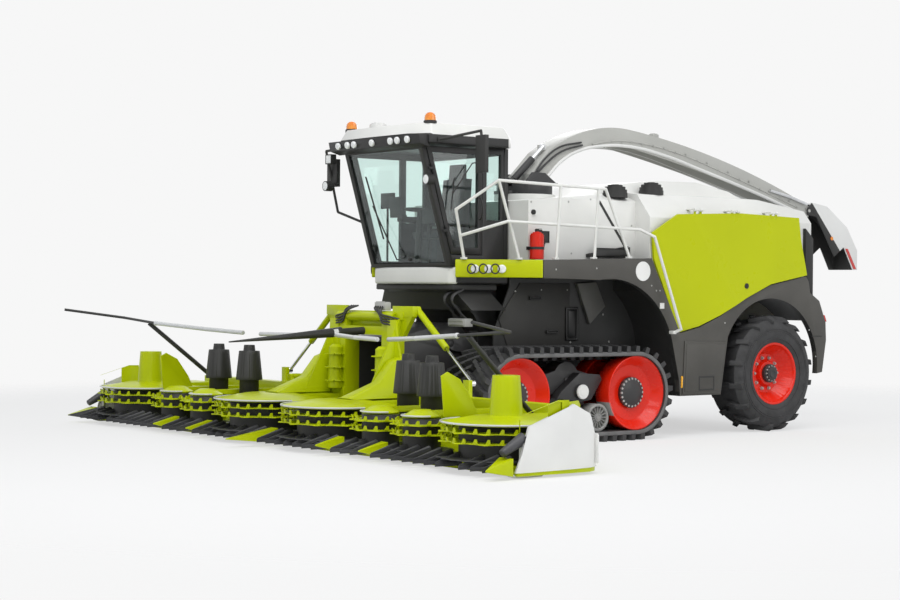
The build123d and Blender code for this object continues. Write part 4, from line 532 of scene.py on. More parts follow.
finished(guides_left, "belt_guides_left", belt_rubber, "harvester")
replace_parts(guides_left, "track_belt_left")
for piece, kind in ((carcass, "carcass"), (band, "edge"), (bars_left, "bars"), (guides_left, "guides")):
    right = twin(piece, f"belt_{kind}_right")
    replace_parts(right, "track_belt_right")

# Track wheels: pressed steel dishes in red enamel, bolted round a dark hub cap, and the small ribbed
# rollers that press the track down between them.
HUB_BOLTS = 20


def hex_bolt(size, depth):
    """A bolt head about Y, with a chamfered face and its washer."""
    head = round_bar(6, size, depth, (0, depth / 2, 0), ACROSS)
    stepped(head, (0, 1, 0), ((size * 0.18, depth * 0.15),))
    washer = round_bar(14, size * 1.35, depth * 0.3, (0, depth * 0.15, 0), ACROSS)
    return joined([head, washer])


def bolt_circle(centre, radius, count, size, depth, phase=0.0):
    """Bolts on a circle about an axis across the machine."""
    places = []
    for i in range(count):
        turn = 2 * math.pi * (i + phase) / count
        places.append(
            (
                (centre[0] + radius * math.cos(turn), centre[1], centre[2] + radius * math.sin(turn)),
                (0, 0, 0)
            )
        )
    return repeated(hex_bolt(size, depth), places)


def bolts_at(size, depth, y, places):
    """Bolts facing left at one width, each at its station and height."""
    return repeated(hex_bolt(size, depth), [((STATION + x, y, z), (0, 0, 0)) for x, z in places])


red_enamel = paint("red_enamel", (0.74, 0.018, 0.004, 1), rough=0.28, coat=0.25, shine=0.25)
zinc = paint("zinc_plate", (0.42, 0.42, 0.40, 1), rough=0.35, coat=0.0, wear=0.25)
cast_alloy = paint("cast_alloy", (0.30, 0.30, 0.29, 1), rough=0.45, coat=0.0, wear=0.2, peel=0.3)
wheels = softened("track_wheels", red_enamel, 0.004)
parted(
    wheels, "press_rollers", cast_alloy, "track_wheels",
    lambda middle, normal: middle.z < 0.47
        and (0.95 < STATION - middle.x < 1.44 or 0.36 < STATION - middle.x < 0.77)
)
ribs = []
ROLLER_STATIONS = (-0.56, -1.24)
ROLLER_Z = 0.287
RIB_COUNT = 16
for roller in ROLLER_STATIONS:
    places = [
        ((STATION + roller, 0, ROLLER_Z), (0, math.pi * 2 * i / RIB_COUNT, 0)) for i in range(RIB_COUNT)
    ]
    rib = cuboid((0, 1.522, 0.085), (0.012, 0.05, 0.105))
    stepped(rib, (0, 1, 0), ((0.003, 0.006),))
    ribs.append(repeated(rib, places))
    boss = round_bar(28, 0.045, 0.05, (STATION + roller, 1.535, ROLLER_Z), ACROSS)
    stepped(boss, (0, 1, 0), ((0.012, -0.01), (0.006, 0.012)))
    ribs.append(boss)
paired(joined(ribs), "roller_ribs", cast_alloy)
hub_bolts = joined(
    [bolt_circle((STATION + x, 1.523, TRACK_Z), 0.166, HUB_BOLTS, 0.015, 0.018) for x in (0, -TRACK_BASE)]
)
paired(hub_bolts, "track_hub_bolts", zinc)
cap = round_bar(40, 0.086, 0.02, (STATION - 1.0, 1.553, 0.6), ACROSS)
stepped(cap, (0, 1, 0), ((0.008, 0.006), (0.03, 0.004)))
cap_white = paint("cap_white", (0.78, 0.78, 0.76, 1), rough=0.35)
paired(cap, "bogie_cap", cap_white)

# Rear wheels: farm tyres with slanting bars, on dished red rims round dark planetary hubs.
tyre_rubber = rubber("tyre_rubber", (0.024, 0.024, 0.025, 1), rough=0.66)
for side in ("left", "right"):
    softened(f"rear_rim_{side}", red_enamel, 0.004)
    softened(f"rear_tyre_{side}", tyre_rubber, 0.009, angle=28)
REAR_WHEEL = (STATION - 4.273, 1.27, 0.745)
side_rings = []
for ring_radius, ring_y in ((0.455, 1.5515), (0.552, 1.5585), (0.575, 1.554)):
    bpy.ops.mesh.primitive_torus_add(
        major_segments=72, minor_segments=8, major_radius=ring_radius, minor_radius=0.0055,
        location=(REAR_WHEEL[0], ring_y, REAR_WHEEL[2]), rotation=(math.radians(90), 0, 0)
    )
    side_rings.append(bpy.context.object)
rings_left = finished(
    joined(side_rings), "tyre_side_rings_left", tyre_rubber, "rear_wheel_left"
)
twin(rings_left, "tyre_side_rings_right", "rear_wheel_right")
hub = round_bar(48, 0.118, 0.06, (REAR_WHEEL[0], 1.44, REAR_WHEEL[2]), ACROSS)
stepped(hub, (0, 1, 0), ((0.012, 0.01), (0.02, 0.022), (0.03, 0.006), (0.02, -0.004)))
eased(hub, 0.003, 2, 40)
hub_left = finished(hub, "rear_hub_left", axle_paint, "rear_wheel_left")
twin(hub_left, "rear_hub_right", "rear_wheel_right")
nuts = joined(
    [
        bolt_circle((REAR_WHEEL[0], 1.362, REAR_WHEEL[2]), 0.205, 10, 0.017, 0.028),
        bolt_circle((REAR_WHEEL[0], 1.478, REAR_WHEEL[2]), 0.094, 12, 0.009, 0.012)
    ]
)
nuts_left = finished(nuts, "rear_wheel_nuts_left", zinc, "rear_wheel_left")
twin(nuts_left, "rear_wheel_nuts_right", "rear_wheel_right")

# Fenders: dark grey mouldings in a fine grain, that box in the track under the walkway, carry the
# ladder and reach over the rear wheel.
FENDER_GREY = (0.072, 0.069, 0.062, 1)
WELL_Y = 0.822


def plastic(name, colour, rough=0.55, grain=0.25, scale=420.0):
    """Moulded plastic with a fine leather grain."""
    material, tree, shader = new_material(name)
    drift = noise(tree, 2.0, 3.0)
    ramped(tree, shader, "Base Color", drift, tinted(colour, 0.85), tinted(colour, 1.15))
    shader.inputs["Roughness"].default_value = rough
    shader.inputs["Specular IOR Level"].default_value = 0.35
    bump(tree, shader, noise(tree, scale, 2.0), grain, 0.001)
    return material


def slab(x, y, z):
    """A block between two stations, two widths and two heights, ready for shaping."""
    centre = (STATION + (x[0] + x[1]) / 2, (y[0] + y[1]) / 2, (z[0] + z[1]) / 2)
    return cuboid(centre, (abs(x[1] - x[0]), abs(y[1] - y[0]), abs(z[1] - z[0])))


def spot(x, y, z):
    """Point of a station, a width and a height."""
    return Vector((STATION + x, y, z))


def side_plate(outline, y, thickness):
    """A sheet cut to a side-view outline of (station, height), standing at a width."""
    bpy.ops.mesh.primitive_circle_add(
        vertices=len(outline), radius=1, fill_type="NGON", rotation=(math.radians(90), 0, 0)
    )
    plate = applied()
    for vertex, (x, z) in zip(plate.data.vertices, outline):
        vertex.co = spot(x, y, z)
    edit_all()
    bpy.ops.mesh.extrude_region_move(TRANSFORM_OT_translate={"value": (0, thickness, 0)})
    leave_edit()
    return plate


fender_plastic = plastic("fender_moulding", FENDER_GREY, rough=0.48)
dark_plastic = plastic("dark_moulding", (0.030, 0.030, 0.029, 1), rough=0.5)
fender = softened("fenders", fender_plastic, 0.014, segments=3)
# Painted shade: the fender's faces inboard of its outer skin, and those turned down near it, take the
# darker moulding for the shade inside the wells and under the fender.
parted(
    fender, "wheel_wells", dark_plastic, "fenders",
    lambda middle, normal: abs(middle.y) < 1.38 or (abs(middle.y) < 1.47 and normal.z < -0.2)
)
well_wall = plastic("well_wall", (0.040, 0.039, 0.036, 1), rough=0.55)
deflector_grey = plastic("deflector_grey", (0.13, 0.128, 0.118, 1), rough=0.5)
pocket_black = plastic("pocket_black", (0.008, 0.008, 0.008, 1), rough=0.3)
well_plate = side_plate(((-1.49, 1.88), (-1.80, 1.90), (-1.95, 1.60), (-1.70, 1.38)), WELL_Y, 0.05)
stepped(well_plate, (0, 1, 0), ((0.03, 0.012),))
eased(well_plate, 0.008)
paired(well_plate, "well_deflector", deflector_grey)
well_cover = side_plate(
    ((-0.62, 1.88), (-1.40, 1.88), (-1.40, 1.08), (-0.45, 1.08), (-0.30, 1.45)), WELL_Y, 0.012
)
stepped(well_cover, (0, 1, 0), ((0.04, 0.006),))
eased(well_cover, 0.004)
paired(well_cover, "well_cover", well_wall)
pocket = slab((-1.33, -1.53), (WELL_Y, WELL_Y + 0.03), (1.18, 1.59))
stepped(pocket, (0, 1, 0), ((0.028, -0.022), (0.014, 0.0), (0.0, 0.016)))
eased(pocket, 0.010, 3)
paired(pocket, "well_pocket", pocket_black)
grips = []
for x, z in ((-1.02, 1.29), (-0.75, 1.70)):
    grip = slab((x, x - 0.18), (WELL_Y + 0.012, WELL_Y + 0.045), (z - 0.022, z + 0.022))
    stepped(grip, (0, 1, 0), ((0.014, -0.02),))
    eased(grip, 0.006)
    grips.append(grip)
paired(joined(grips), "well_grips", dark_plastic)
well_bolts = bolts_at(
    0.010, 0.009, WELL_Y + 0.004,
    (
        (-0.55, 1.78), (-0.95, 1.80), (-1.36, 1.80), (-1.42, 1.45), (-1.42, 1.16), (-1.95, 1.50),
        (-2.05, 1.16)
    )
)
paired(well_bolts, "well_bolts", zinc)
ladder_cheek = side_plate(((-2.66, 0.52), (-3.31, 0.52), (-3.43, 1.16), (-2.70, 1.18)), 1.5, 0.014)
stepped(ladder_cheek, (0, 1, 0), ((0.03, 0.008),))
eased(ladder_cheek, 0.006)
paired(ladder_cheek, "ladder_cheek", fender_plastic)
step = slab((-2.93, -3.20), (1.506, 1.526), (0.56, 0.74))
stepped(step, (0, 1, 0), ((0.02, -0.017), (0.03, 0.0)))
eased(step, 0.005)
paired(step, "ladder_step", dark_plastic)
rear_seam = slab((-5.19, -5.00), (1.494, 1.503), (1.212, 1.222))
stepped(rear_seam, (0, 1, 0), ((0.002, 0.002),))
paired(rear_seam, "fender_seam", dark_plastic)

# Small fittings on the fenders: amber reflectors, blank round and square plates, and screws, all
# riveted to the moulding.
amber = paint("amber_lens", (0.85, 0.42, 0.01, 1), rough=0.15, coat=1.0)
sign_white = paint("sign_white", (0.82, 0.82, 0.80, 1), rough=0.4)
reflector = slab((-2.645, -2.69), (1.5, 1.506), (0.60, 0.745))
stepped(reflector, (0, 1, 0), ((0.005, 0.004),))
paired(reflector, "amber_reflector", amber)
speed_plate = round_bar(48, 0.118, 0.006, spot(-1.995, 1.503, 2.035), ACROSS)
stepped(speed_plate, (0, 1, 0), ((0.008, 0.0), (0.004, -0.001)))
finished(speed_plate, "round_plate", sign_white, "harvester")
square_plate = slab((-2.28, -2.35), (1.5, 1.505), (1.58, 1.65))
stepped(square_plate, (0, 1, 0), ((0.004, 0.001),))
finished(square_plate, "square_plate", sign_white, "harvester")
fender_screws = bolts_at(
    0.008, 0.006, 1.4995,
    (
        (-0.62, 2.04), (-1.25, 2.06), (-2.14, 1.86), (-2.22, 1.80), (-2.28, 1.80), (-2.68, 0.56),
        (-3.25, 1.10), (-3.40, 1.40), (-4.95, 1.30), (-5.08, 0.95)
    )
)
paired(fender_screws, "fender_screws", zinc)

# Cylinder tubes, the spout's turning ring and the feeder house: steel, sprayed in the same satin
# black enamel, with hard-chromed rods sliding in the tubes.
softened("feeder_house", axle_paint, 0.006)
for name in ("lift_barrels", "spout_turret", "spout_lift_barrel"):
    softened(name, axle_paint, 0.003)
chrome, tree, shader = new_material("hard_chrome")
shader.inputs["Metallic"].default_value = 1.0
ramped(tree, shader, "Base Color", noise(tree, 9.0), (0.62, 0.63, 0.65, 1), (0.76, 0.77, 0.78, 1))
ramped(tree, shader, "Roughness", noise(tree, 40.0), (0.12,) * 3 + (1,), (0.26,) * 3 + (1,))
for name in ("spout_lift_rod", "fold_rod_left", "fold_rod_right", "lift_rods"):
    softened(name, chrome, 0.001, angle=50, segments=1)

# White upper body: sprayed steel sheet over a frame, folded at the shoulders and hollow inside,
# with its edges rounded by the press.
BODY_WHITE = (0.76, 0.76, 0.73, 1)
BODY_SIDE_Y = 1.15
white_paint = paint("white_enamel", BODY_WHITE, rough=0.34)
softened("body_shell", white_paint, 0.016, segments=3)

# Rear deck: the pressed lid that closes the roof between the hood and the rear wall, where the part's
# own shell is open. It lies 2 mm under the roof's line, and its edges run inside the shell.
DECK_LINE = (
    (-4.09, 3.093, 0.80), (-4.24, 3.018, 0.88), (-4.30, 2.988, 0.95), (-4.36, 2.978, 1.02),
    (-4.545, 2.946, 1.185), (-5.04, 2.8615, 1.25)
)
bpy.ops.mesh.primitive_grid_add(x_subdivisions=len(DECK_LINE) - 1, y_subdivisions=1, size=2)
deck_lid = bpy.context.object
for vertex in deck_lid.data.vertices:
    x, z, half_width = DECK_LINE[vertex.index % len(DECK_LINE)]
    vertex.co = spot(x, half_width if vertex.co.y > 0 else -half_width, z)
edit_all()
bpy.ops.mesh.extrude_region_move(TRANSFORM_OT_translate={"value": (0, 0, -0.02)})
bpy.ops.mesh.select_all(action="SELECT")
bpy.ops.mesh.normals_make_consistent(inside=False)
leave_edit()
finished(deck_lid, "rear_deck_lid", white_paint, "harvester")

# Mouldings, vents and domes on the upper body: black rubber and plastic, screwed to the sheet,
# and a thin dark strip of painted shade along the gap between two panels.
kerb = slab((-1.38, -2.02), (BODY_SIDE_Y, BODY_SIDE_Y + 0.09), (2.20, 2.33))
stepped(kerb, (0, 1, 0), ((0.03, 0.03),))
stepped(kerb, (0, 0, 1), ((0.015, 0.012),))
pick(kerb, lambda middle, normal: normal.x > 0.9)
bpy.ops.transform.resize(value=(1, 1, 0.3), center_override=spot(-1.38, BODY_SIDE_Y, 2.20))
leave_edit()
eased(kerb, 0.01)
paired(kerb, "deck_moulding", dark_plastic)
# Painted shade: a thin dark strip along the slanting gap between two body panels, for the shade that falls
# in the gap.
gap_shade_strip = side_plate(((-1.56, 2.89), (-1.60, 2.89), (-2.04, 2.33), (-2.00, 2.33)), BODY_SIDE_Y, 0.006)
stepped(gap_shade_strip, (0, 1, 0), ((0.008, 0.004),))
paired(gap_shade_strip, "body_seal", dark_plastic)
louvre = slab((-0.68, -0.80), (BODY_SIDE_Y, BODY_SIDE_Y + 0.008), (2.36, 2.50))
stepped(louvre, (0, 1, 0), ((0.010, -0.006), (0.012, 0.004)))
paired(louvre, "body_vent", dark_plastic)
filler = round_bar(32, 0.030, 0.02, spot(-0.551, BODY_SIDE_Y + 0.008, 2.72), ACROSS)
stepped(filler, (0, 1, 0), ((0.006, 0.004), (0.010, -0.004)))
finished(filler, "filler_cap", dark_plastic, "harvester")
domes = []
for x, z in ((-1.944, 2.95), (-2.546, 3.0)):
    dome = round_bar(40, 0.155, 0.06, spot(x, 1.04, z + 0.02))
    stepped(dome, (0, 0, 1), ((0.008, 0.040), (0.020, 0.035), (0.035, 0.022), (0.045, 0.008)))
    domes.append(dome)
finished(joined(domes), "air_intakes", dark_plastic, "harvester")
body_bolts = bolts_at(
    0.009, 0.007, BODY_SIDE_Y - 0.001,
    ((-0.52, 2.84), (-0.52, 2.24), (-1.10, 2.86), (-1.15, 2.24), (-2.12, 2.60), (-1.45, 2.90))
)
paired(body_bolts, "body_bolts", zinc)

# Lime service doors: big moulded panels with a crease, hinged along the top, in gloss enamel, with a
# sunk latch, and the lamp panels under the cab in the same finish.
LIME = (0.50, 0.56, 0.002, 1)
lime_paint = paint("lime_enamel", LIME, rough=0.30, coat=0.12, wear=0.03, shine=0.15)
for name in ("side_panel_left", "side_panel_right"):
    door = softened(name, lime_paint, 0.010, segments=3)
    parted(
        door, name + "_knuckles", white_paint, name, lambda middle, normal: middle.z > 2.789
    )
    chosen(door)
    bpy.ops.object.shade_smooth_by_angle(angle=math.radians(2))
softened("light_panels", lime_paint, 0.010)
latch = round_bar(32, 0.034, 0.012, spot(-3.754, 1.529, 1.868), ACROSS)
stepped(latch, (0, 1, 0), ((0.004, 0.001), (0.006, -0.004), (0.016, 0.003)))
finished(latch, "door_latch_left", dark_plastic, "side_panel_left")
twin(latch, "door_latch_right", "side_panel_right")

# Rear grille in black moulding, and the dark corner wedges beside it.
black_plastic = plastic("black_moulding", (0.022, 0.022, 0.022, 1), rough=0.42)
softened("rear_grille", black_plastic, 0.008)
wedge = side_plate(
    ((-4.905, 2.63), (-5.052, 2.50), (-5.052, 1.72), (-4.945, 1.94), (-4.905, 2.05)), 1.415, 0.055
)
stepped(wedge, (0, 1, 0), ((0.02, -0.012),))
eased(wedge, 0.006)
paired(wedge, "corner_wedge", black_plastic)

# Cab shell: a white floor tray with a dark hull bolted under it, black pillars and a white moulded
# roof with a black brow that carries the lamps.
tray = softened("cab_floor", white_paint, 0.03, segments=4)
TRAY_SPLIT_X = 0.318          # the tray's front strip is white, and the rest is dark
cut_through(tray, spot(TRAY_SPLIT_X, 0, 0), (1, 0, 0))
parted(
    tray, "floor_tray_side", black_plastic, "cab_floor",
    lambda middle, normal: middle.x - STATION < TRAY_SPLIT_X
)
for name in ("cab_front", "cab_back", "cab_sides", "cab_door"):
    softened(name, black_plastic, 0.010)
roof = softened("cab_roof", white_paint, 0.035, segments=4)
cut_through(roof, spot(0.12, 0, 0), (1, 0, 0.35))
parted(
    roof, "roof_brow", black_plastic, "cab_roof",
    lambda middle, normal: middle.z < 3.592 and middle.x - STATION > 0.12 - 0.35 * middle.z + 1.0
)
lip = cuboid(spot(0.03, 0, 1.825), (0.66, 1.58, 0.07))
stepped(lip, (0, 0, -1), ((0.05, 0.0), (0.02, 0.16)))
pick(lip, lambda middle, normal: normal.z < -0.98 and middle.z < 1.7)
bpy.ops.transform.resize(value=(1.0, 1.32, 1.0))
bpy.ops.transform.translate(value=(-0.10, 0, -0.08))
leave_edit()
eased(lip, 0.014, 2, 20)
finished(lip, "hull_under_cab", dark_plastic, "harvester")
floor_seam = slab((0.30, 0.335), (0.825, 0.834), (1.88, 2.04))
stepped(floor_seam, (0, 1, 0), ((0.004, -0.003),))
paired(floor_seam, "floor_seam", dark_plastic)

# Cab glass: bonded safety panes with a faint green tint, dark round their edges where the glue is.
glass, tree, shader = new_material("tinted_glass")
shader.inputs["Base Color"].default_value = (0.82, 0.94, 0.91, 1)
shader.inputs["IOR"].default_value = 1.45
shader.inputs["Transmission Weight"].default_value = 1.0
ramped(tree, shader, "Roughness", noise(tree, 3.0), (0.0,) * 3 + (1,), (0.05,) * 3 + (1,))
for name in ("cab_glass", "door_glass"):
    slots = nodes[name].data.materials
    slots.clear()
    slots.append(glass)

# Cab interior: a cushioned seat in dark cloth, and black moulded controls with a steering wheel,
# screens and an armrest.
cloth, tree, shader = new_material("seat_cloth")
place = tree.nodes.new("ShaderNodeTexCoord")
weave = tree.nodes.new("ShaderNodeTexWave")
weave.inputs["Scale"].default_value = 90.0
weave.inputs["Distortion"].default_value = 1.5
tree.links.new(place.outputs["Object"], weave.inputs["Vector"])
ramped(tree, shader, "Base Color", weave.outputs["Fac"], (0.018, 0.020, 0.022, 1), (0.05, 0.055, 0.06, 1))
shader.inputs["Roughness"].default_value = 0.92
shader.inputs["Sheen Weight"].default_value = 0.3
bump(tree, shader, weave.outputs["Fac"], 0.4, 0.002)
seat = softened("seat", cloth, 0.035, segments=5)
softened("cab_controls", dark_plastic, 0.005)
screens = []
for x, y, z, width, height in ((0.30, -0.60, 2.88, 0.26, 0.19), (0.33, 0.30, 2.66, 0.22, 0.16)):
    monitor = slab((x, x + 0.035), (y - width / 2, y + width / 2), (z - height / 2, z + height / 2))
    stepped(monitor, (-1, 0, 0), ((0.012, 0.0), (0.0, -0.004)))
    eased(monitor, 0.004)
    screens.append(monitor)
    stalk = round_bar(16, 0.014, z - height / 2 - 2.06, spot(x + 0.02, y, (z - height / 2 + 2.06) / 2))
    screens.append(stalk)
finished(joined(screens), "cab_screens", dark_plastic, "harvester")

# Roof fittings and lamps: two amber beacons and a white receiver dome on dark feet, clear lamps in
# the brow and the lamp panels, each in a dark moulded ring, and red lamps at the back.
lens, tree, shader = new_material("lamp_lens")
shader.inputs["Metallic"].default_value = 0.0
ramped(tree, shader, "Base Color", noise(tree, 60.0), (0.78, 0.80, 0.80, 1), (0.92, 0.93, 0.93, 1))
shader.inputs["Roughness"].default_value = 0.08
shader.inputs["Coat Weight"].default_value = 1.0
beacon_orange, tree, shader = new_material("beacon_orange")
ramped(tree, shader, "Base Color", noise(tree, 25.0), (0.80, 0.20, 0.003, 1), (0.92, 0.32, 0.01, 1))
shader.inputs["Roughness"].default_value = 0.12
shader.inputs["Coat Weight"].default_value = 1.0
tail_red = paint("tail_red", (0.55, 0.01, 0.005, 1), rough=0.15, coat=1.0)
lamps = softened("lamps", lens, 0.010, segments=3)
old_beacons = parted(
    lamps, "beacons", beacon_orange, "lamps", lambda middle, normal: middle.z > 3.70
)
bpy.data.objects.remove(old_beacons)
BEACON_X, BEACON_Y = 0.72, 0.815
for y, name in ((BEACON_Y, "beacon_left"), (-BEACON_Y, "beacon_right")):
    beacon = round_bar(40, 0.068, 0.05, spot(BEACON_X, y, 3.762))
    stepped(beacon, (0, 0, 1), ((0.004, 0.022), (0.010, 0.016), (0.016, 0.012), (0.020, 0.005)))
    finished(beacon, name, beacon_orange, "harvester")
    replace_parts(beacon, "lamps")
parted(
    lamps, "tail_lamps", tail_red, "lamps", lambda middle, normal: middle.x - STATION < -5.1
)
feet = []
for y in (BEACON_Y, -BEACON_Y):
    foot = round_bar(32, 0.078, 0.030, spot(BEACON_X, y, 3.726))
    stepped(foot, (0, 0, 1), ((0.006, 0.008),))
    feet.append(foot)
RECEIVER_X, RECEIVER_Y = 0.60, -0.42
foot = round_bar(40, 0.095, 0.03, spot(RECEIVER_X, RECEIVER_Y, 3.733))
stepped(foot, (0, 0, 1), ((0.012, 0.008),))
feet.append(foot)
finished(joined(feet), "roof_feet", dark_plastic, "harvester")
receiver = round_bar(48, 0.105, 0.03, spot(RECEIVER_X, RECEIVER_Y, 3.766))
stepped(receiver, (0, 0, 1), ((0.006, 0.010), (0.018, 0.012), (0.030, 0.008)))
finished(receiver, "receiver_dome", cap_white, "harvester")
BROW_LAMPS_Y = (-0.72, -0.52, -0.38, 0.0, 0.38, 0.52, 0.72)
BROW_LAMPS_X, BROW_LAMPS_Z = 0.990, 3.520
BROW_LEAN = math.radians(77)
PANEL_LAMPS = (0.23, 0.385, 0.54)       # shares of the lamp panel's length
PANEL_LAMPS_Z = 2.04
PANEL_TURN = 39.2
bezels = []
for y in BROW_LAMPS_Y:
    bpy.ops.mesh.primitive_torus_add(
        major_segments=28, minor_segments=8, major_radius=0.047, minor_radius=0.007,
        location=spot(BROW_LAMPS_X, y, BROW_LAMPS_Z), rotation=(0, BROW_LEAN, 0)
    )
    bezels.append(bpy.context.object)
for y_side in (1, -1):
    for share in PANEL_LAMPS:
        lamp_place = spot(
            0.380 - 0.785 * share + 0.0125, y_side * (0.860 + 0.640 * share + 0.0150), PANEL_LAMPS_Z
        )
        bpy.ops.mesh.primitive_torus_add(
            major_segments=28, minor_segments=8, major_radius=0.054, minor_radius=0.009,
            location=lamp_place,
            rotation=(math.radians(-90), 0, math.radians(-PANEL_TURN if y_side > 0 else PANEL_TURN - 180))
        )
        bezels.append(bpy.context.object)
bezel = joined(bezels)
chosen(bezel)
edit_all()
bpy.ops.transform.resize(value=(0.8, 1, 1))
leave_edit()
finished(bezel, "brow_bezels", dark_plastic, "harvester")

# Mirrors and outer lamps: black moulded housings on tube arms, each with a bright glass set in, and
# round and square work lamps clamped to the arms.
softened("mirrors", dark_plastic, 0.012, segments=3)
mirror_glass, tree, shader = new_material("mirror_glass")
shader.inputs["Metallic"].default_value = 1.0
ramped(tree, shader, "Base Color", noise(tree, 2.0), (0.66, 0.70, 0.72, 1), (0.76, 0.79, 0.80, 1))
shader.inputs["Roughness"].default_value = 0.05
for x, y, z, width, height, name in (
    (0.395, 1.41, 3.345, 0.15, 0.38, "mirror_glass_left"),
    (0.690, -1.22, 3.23, 0.18, 0.30, "mirror_glass_right")
):
    pane = slab((x - 0.004, x + 0.004), (y - width / 2, y + width / 2), (z - height / 2, z + height / 2))
    stepped(pane, (-1, 0, 0), ((0.006, 0.001),))
    finished(pane, name, mirror_glass, "harvester")


def round_lamp(place, radius):
    """A round work lamp facing ahead: a deep black bowl and a bright face."""
    bowl = round_bar(32, radius, 0.09, place - Vector((0.045, 0, 0)), (0, math.radians(90), 0))
    stepped(bowl, (1, 0, 0), ((0.006, 0.0), (0.004, -0.010)))
    stepped(bowl, (-1, 0, 0), ((0.012, 0.015), (0.015, 0.01)))
    face = round_bar(32, radius - 0.010, 0.012, place - Vector((0.006, 0, 0)), (0, math.radians(90), 0))
    stepped(face, (1, 0, 0), ((0.006, 0.003), (0.012, 0.002)))
    return bowl, face


bowls, faces = [], []
for place, radius in ((spot(0.90, -1.13, 3.06), 0.062), (spot(0.79, 0.83, 3.067), 0.062)):
    bowl, face = round_lamp(place, radius)
    bowls.append(bowl)
    faces.append(face)
square = slab((0.80, 0.88), (-1.16, -1.03), (3.33, 3.45))
stepped(square, (1, 0, 0), ((0.008, 0.0), (0.004, -0.008)))
eased(square, 0.006)
bowls.append(square)
square_face = slab((0.868, 0.876), (-1.148, -1.042), (3.342, 3.438))
stepped(square_face, (1, 0, 0), ((0.010, 0.003),))
faces.append(square_face)
arms = []
for x1, y1, z1, x2, y2, z2 in (
    (0.76, -1.19, 3.10, 0.84, -1.13, 3.06), (0.78, -1.22, 3.42, 0.82, -1.12, 3.40),
    (0.72, 0.80, 3.06, 0.72, 0.84, 3.065)
):
    start, end = spot(x1, y1, z1), spot(x2, y2, z2)
    arm = round_bar(
        14, 0.012, (end - start).length, (start + end) / 2, (end - start).to_track_quat("Z", "Y").to_euler()
    )
    eased(arm, 0.003)
    arms.append(arm)
finished(joined(bowls + arms), "work_lamp_bowls", dark_plastic, "harvester")
finished(joined(faces), "work_lamp_faces", lens, "harvester")

# Wipers: a black arm and blade resting on the windscreen and on the door's glass, and the door's
# handle, all bent from plain rod.
def rod_piece(points, radius, smooth=False):
    """A tube along a run of points, filled at its ends."""
    bpy.ops.curve.primitive_bezier_curve_add(radius=1, location=(0, 0, 0))
    run = bpy.context.object
    spline = run.data.splines[0]
    spline.bezier_points.add(len(points) - 2)
    for knot, point in zip(spline.bezier_points, points):
        knot.co = point
        knot.handle_left_type = "AUTO" if smooth else "VECTOR"
        knot.handle_right_type = "AUTO" if smooth else "VECTOR"
    run.data.resolution_u = 8 if smooth else 1
    run.data.bevel_depth = radius
    run.data.bevel_resolution = 3
    run.data.use_fill_caps = True
    chosen(run)
    bpy.ops.object.convert(target="MESH")
    return bpy.context.object


def screen_spot(y, z, ahead):
    """A point in front of the leaning windscreen."""
    return spot(0.42 + (z - 2.06) * 0.42 / 1.42 + ahead, y, z)


wipers = [
    rod_piece(
        [screen_spot(-0.15, 2.15, 0.015), screen_spot(-0.15, 2.15, 0.05), screen_spot(-0.42, 2.80, 0.03)],
        0.009
    ),
    rod_piece([screen_spot(-0.38, 2.40, 0.012), screen_spot(-0.45, 3.15, 0.012)], 0.010),
    rod_piece([screen_spot(0.10, 2.15, 0.015), screen_spot(0.10, 2.15, 0.05)], 0.02),
]
finished(joined(wipers), "screen_wiper", dark_plastic, "harvester")
side_wiper = joined([
    rod_piece([spot(0.02, 0.835, 3.30), spot(0.12, 0.838, 3.28), spot(0.40, 0.838, 2.92)], 0.007),
    rod_piece([spot(0.38, 0.832, 3.10), spot(0.42, 0.832, 2.72)], 0.009),
])
finished(side_wiper, "door_wiper", dark_plastic, "cab_door")
handle = rod_piece(
    [spot(0.00, 0.83, 2.62), spot(0.00, 0.865, 2.64), spot(0.005, 0.865, 2.86), spot(0.005, 0.83, 2.88)],
    0.010, smooth=True
)
finished(handle, "door_handle", dark_plastic, "cab_door")

# Walkway rails: bent steel tube in white enamel, welded to foot plates. The edges of the plates are
# eased just enough to catch the light.
softened("handrails", white_paint, 0.002, angle=60)

# Fire extinguisher: a red pressed cylinder with a black valve, strapped to the body beside the door,
# with its short hose hanging at its side.
EXT_PLACE = (-0.535, 1.245)
EXT_R = 0.084
bottle = round_bar(40, EXT_R, 0.28, spot(*EXT_PLACE, 2.305))
stepped(bottle, (0, 0, 1), ((0.010, 0.018), (0.022, 0.016), (0.026, 0.006)))
stepped(bottle, (0, 0, -1), ((0.006, 0.004), (0.006, -0.008)))
finished(bottle, "extinguisher_bottle", red_enamel, "harvester")
valve = slab(
    (EXT_PLACE[0] - 0.018, EXT_PLACE[0] + 0.018), (EXT_PLACE[1] - 0.018, EXT_PLACE[1] + 0.018),
    (2.47, 2.515)
)
stepped(valve, (0, 0, 1), ((0.004, 0.006),))
stepped(valve, (-1, 0, 0), ((0.006, 0.055),))
eased(valve, 0.003)
strap = side_plate(
    (
        (EXT_PLACE[0] - 0.085, 2.27), (EXT_PLACE[0] + 0.085, 2.27), (EXT_PLACE[0] + 0.085, 2.31),
        (EXT_PLACE[0] - 0.085, 2.31)
    ),
    BODY_SIDE_Y, 0.012
)
stepped(strap, (0, 1, 0), ((0.004, 0.002),))
band = round_bar(40, EXT_R + 0.004, 0.03, spot(*EXT_PLACE, 2.29))
stepped(band, (0, 0, 1), ((0.003, 0.002),))
hose_piece = rod_piece(
    [
        spot(EXT_PLACE[0] - 0.07, EXT_PLACE[1], 2.49),
        spot(EXT_PLACE[0] - 0.112, EXT_PLACE[1] + 0.01, 2.40),
        spot(EXT_PLACE[0] - 0.096, EXT_PLACE[1] + 0.01, 2.30)
    ],
    0.009, smooth=True
)
finished(
    joined([valve, strap, band, hose_piece]), "extinguisher_fittings", dark_plastic, "harvester",
)

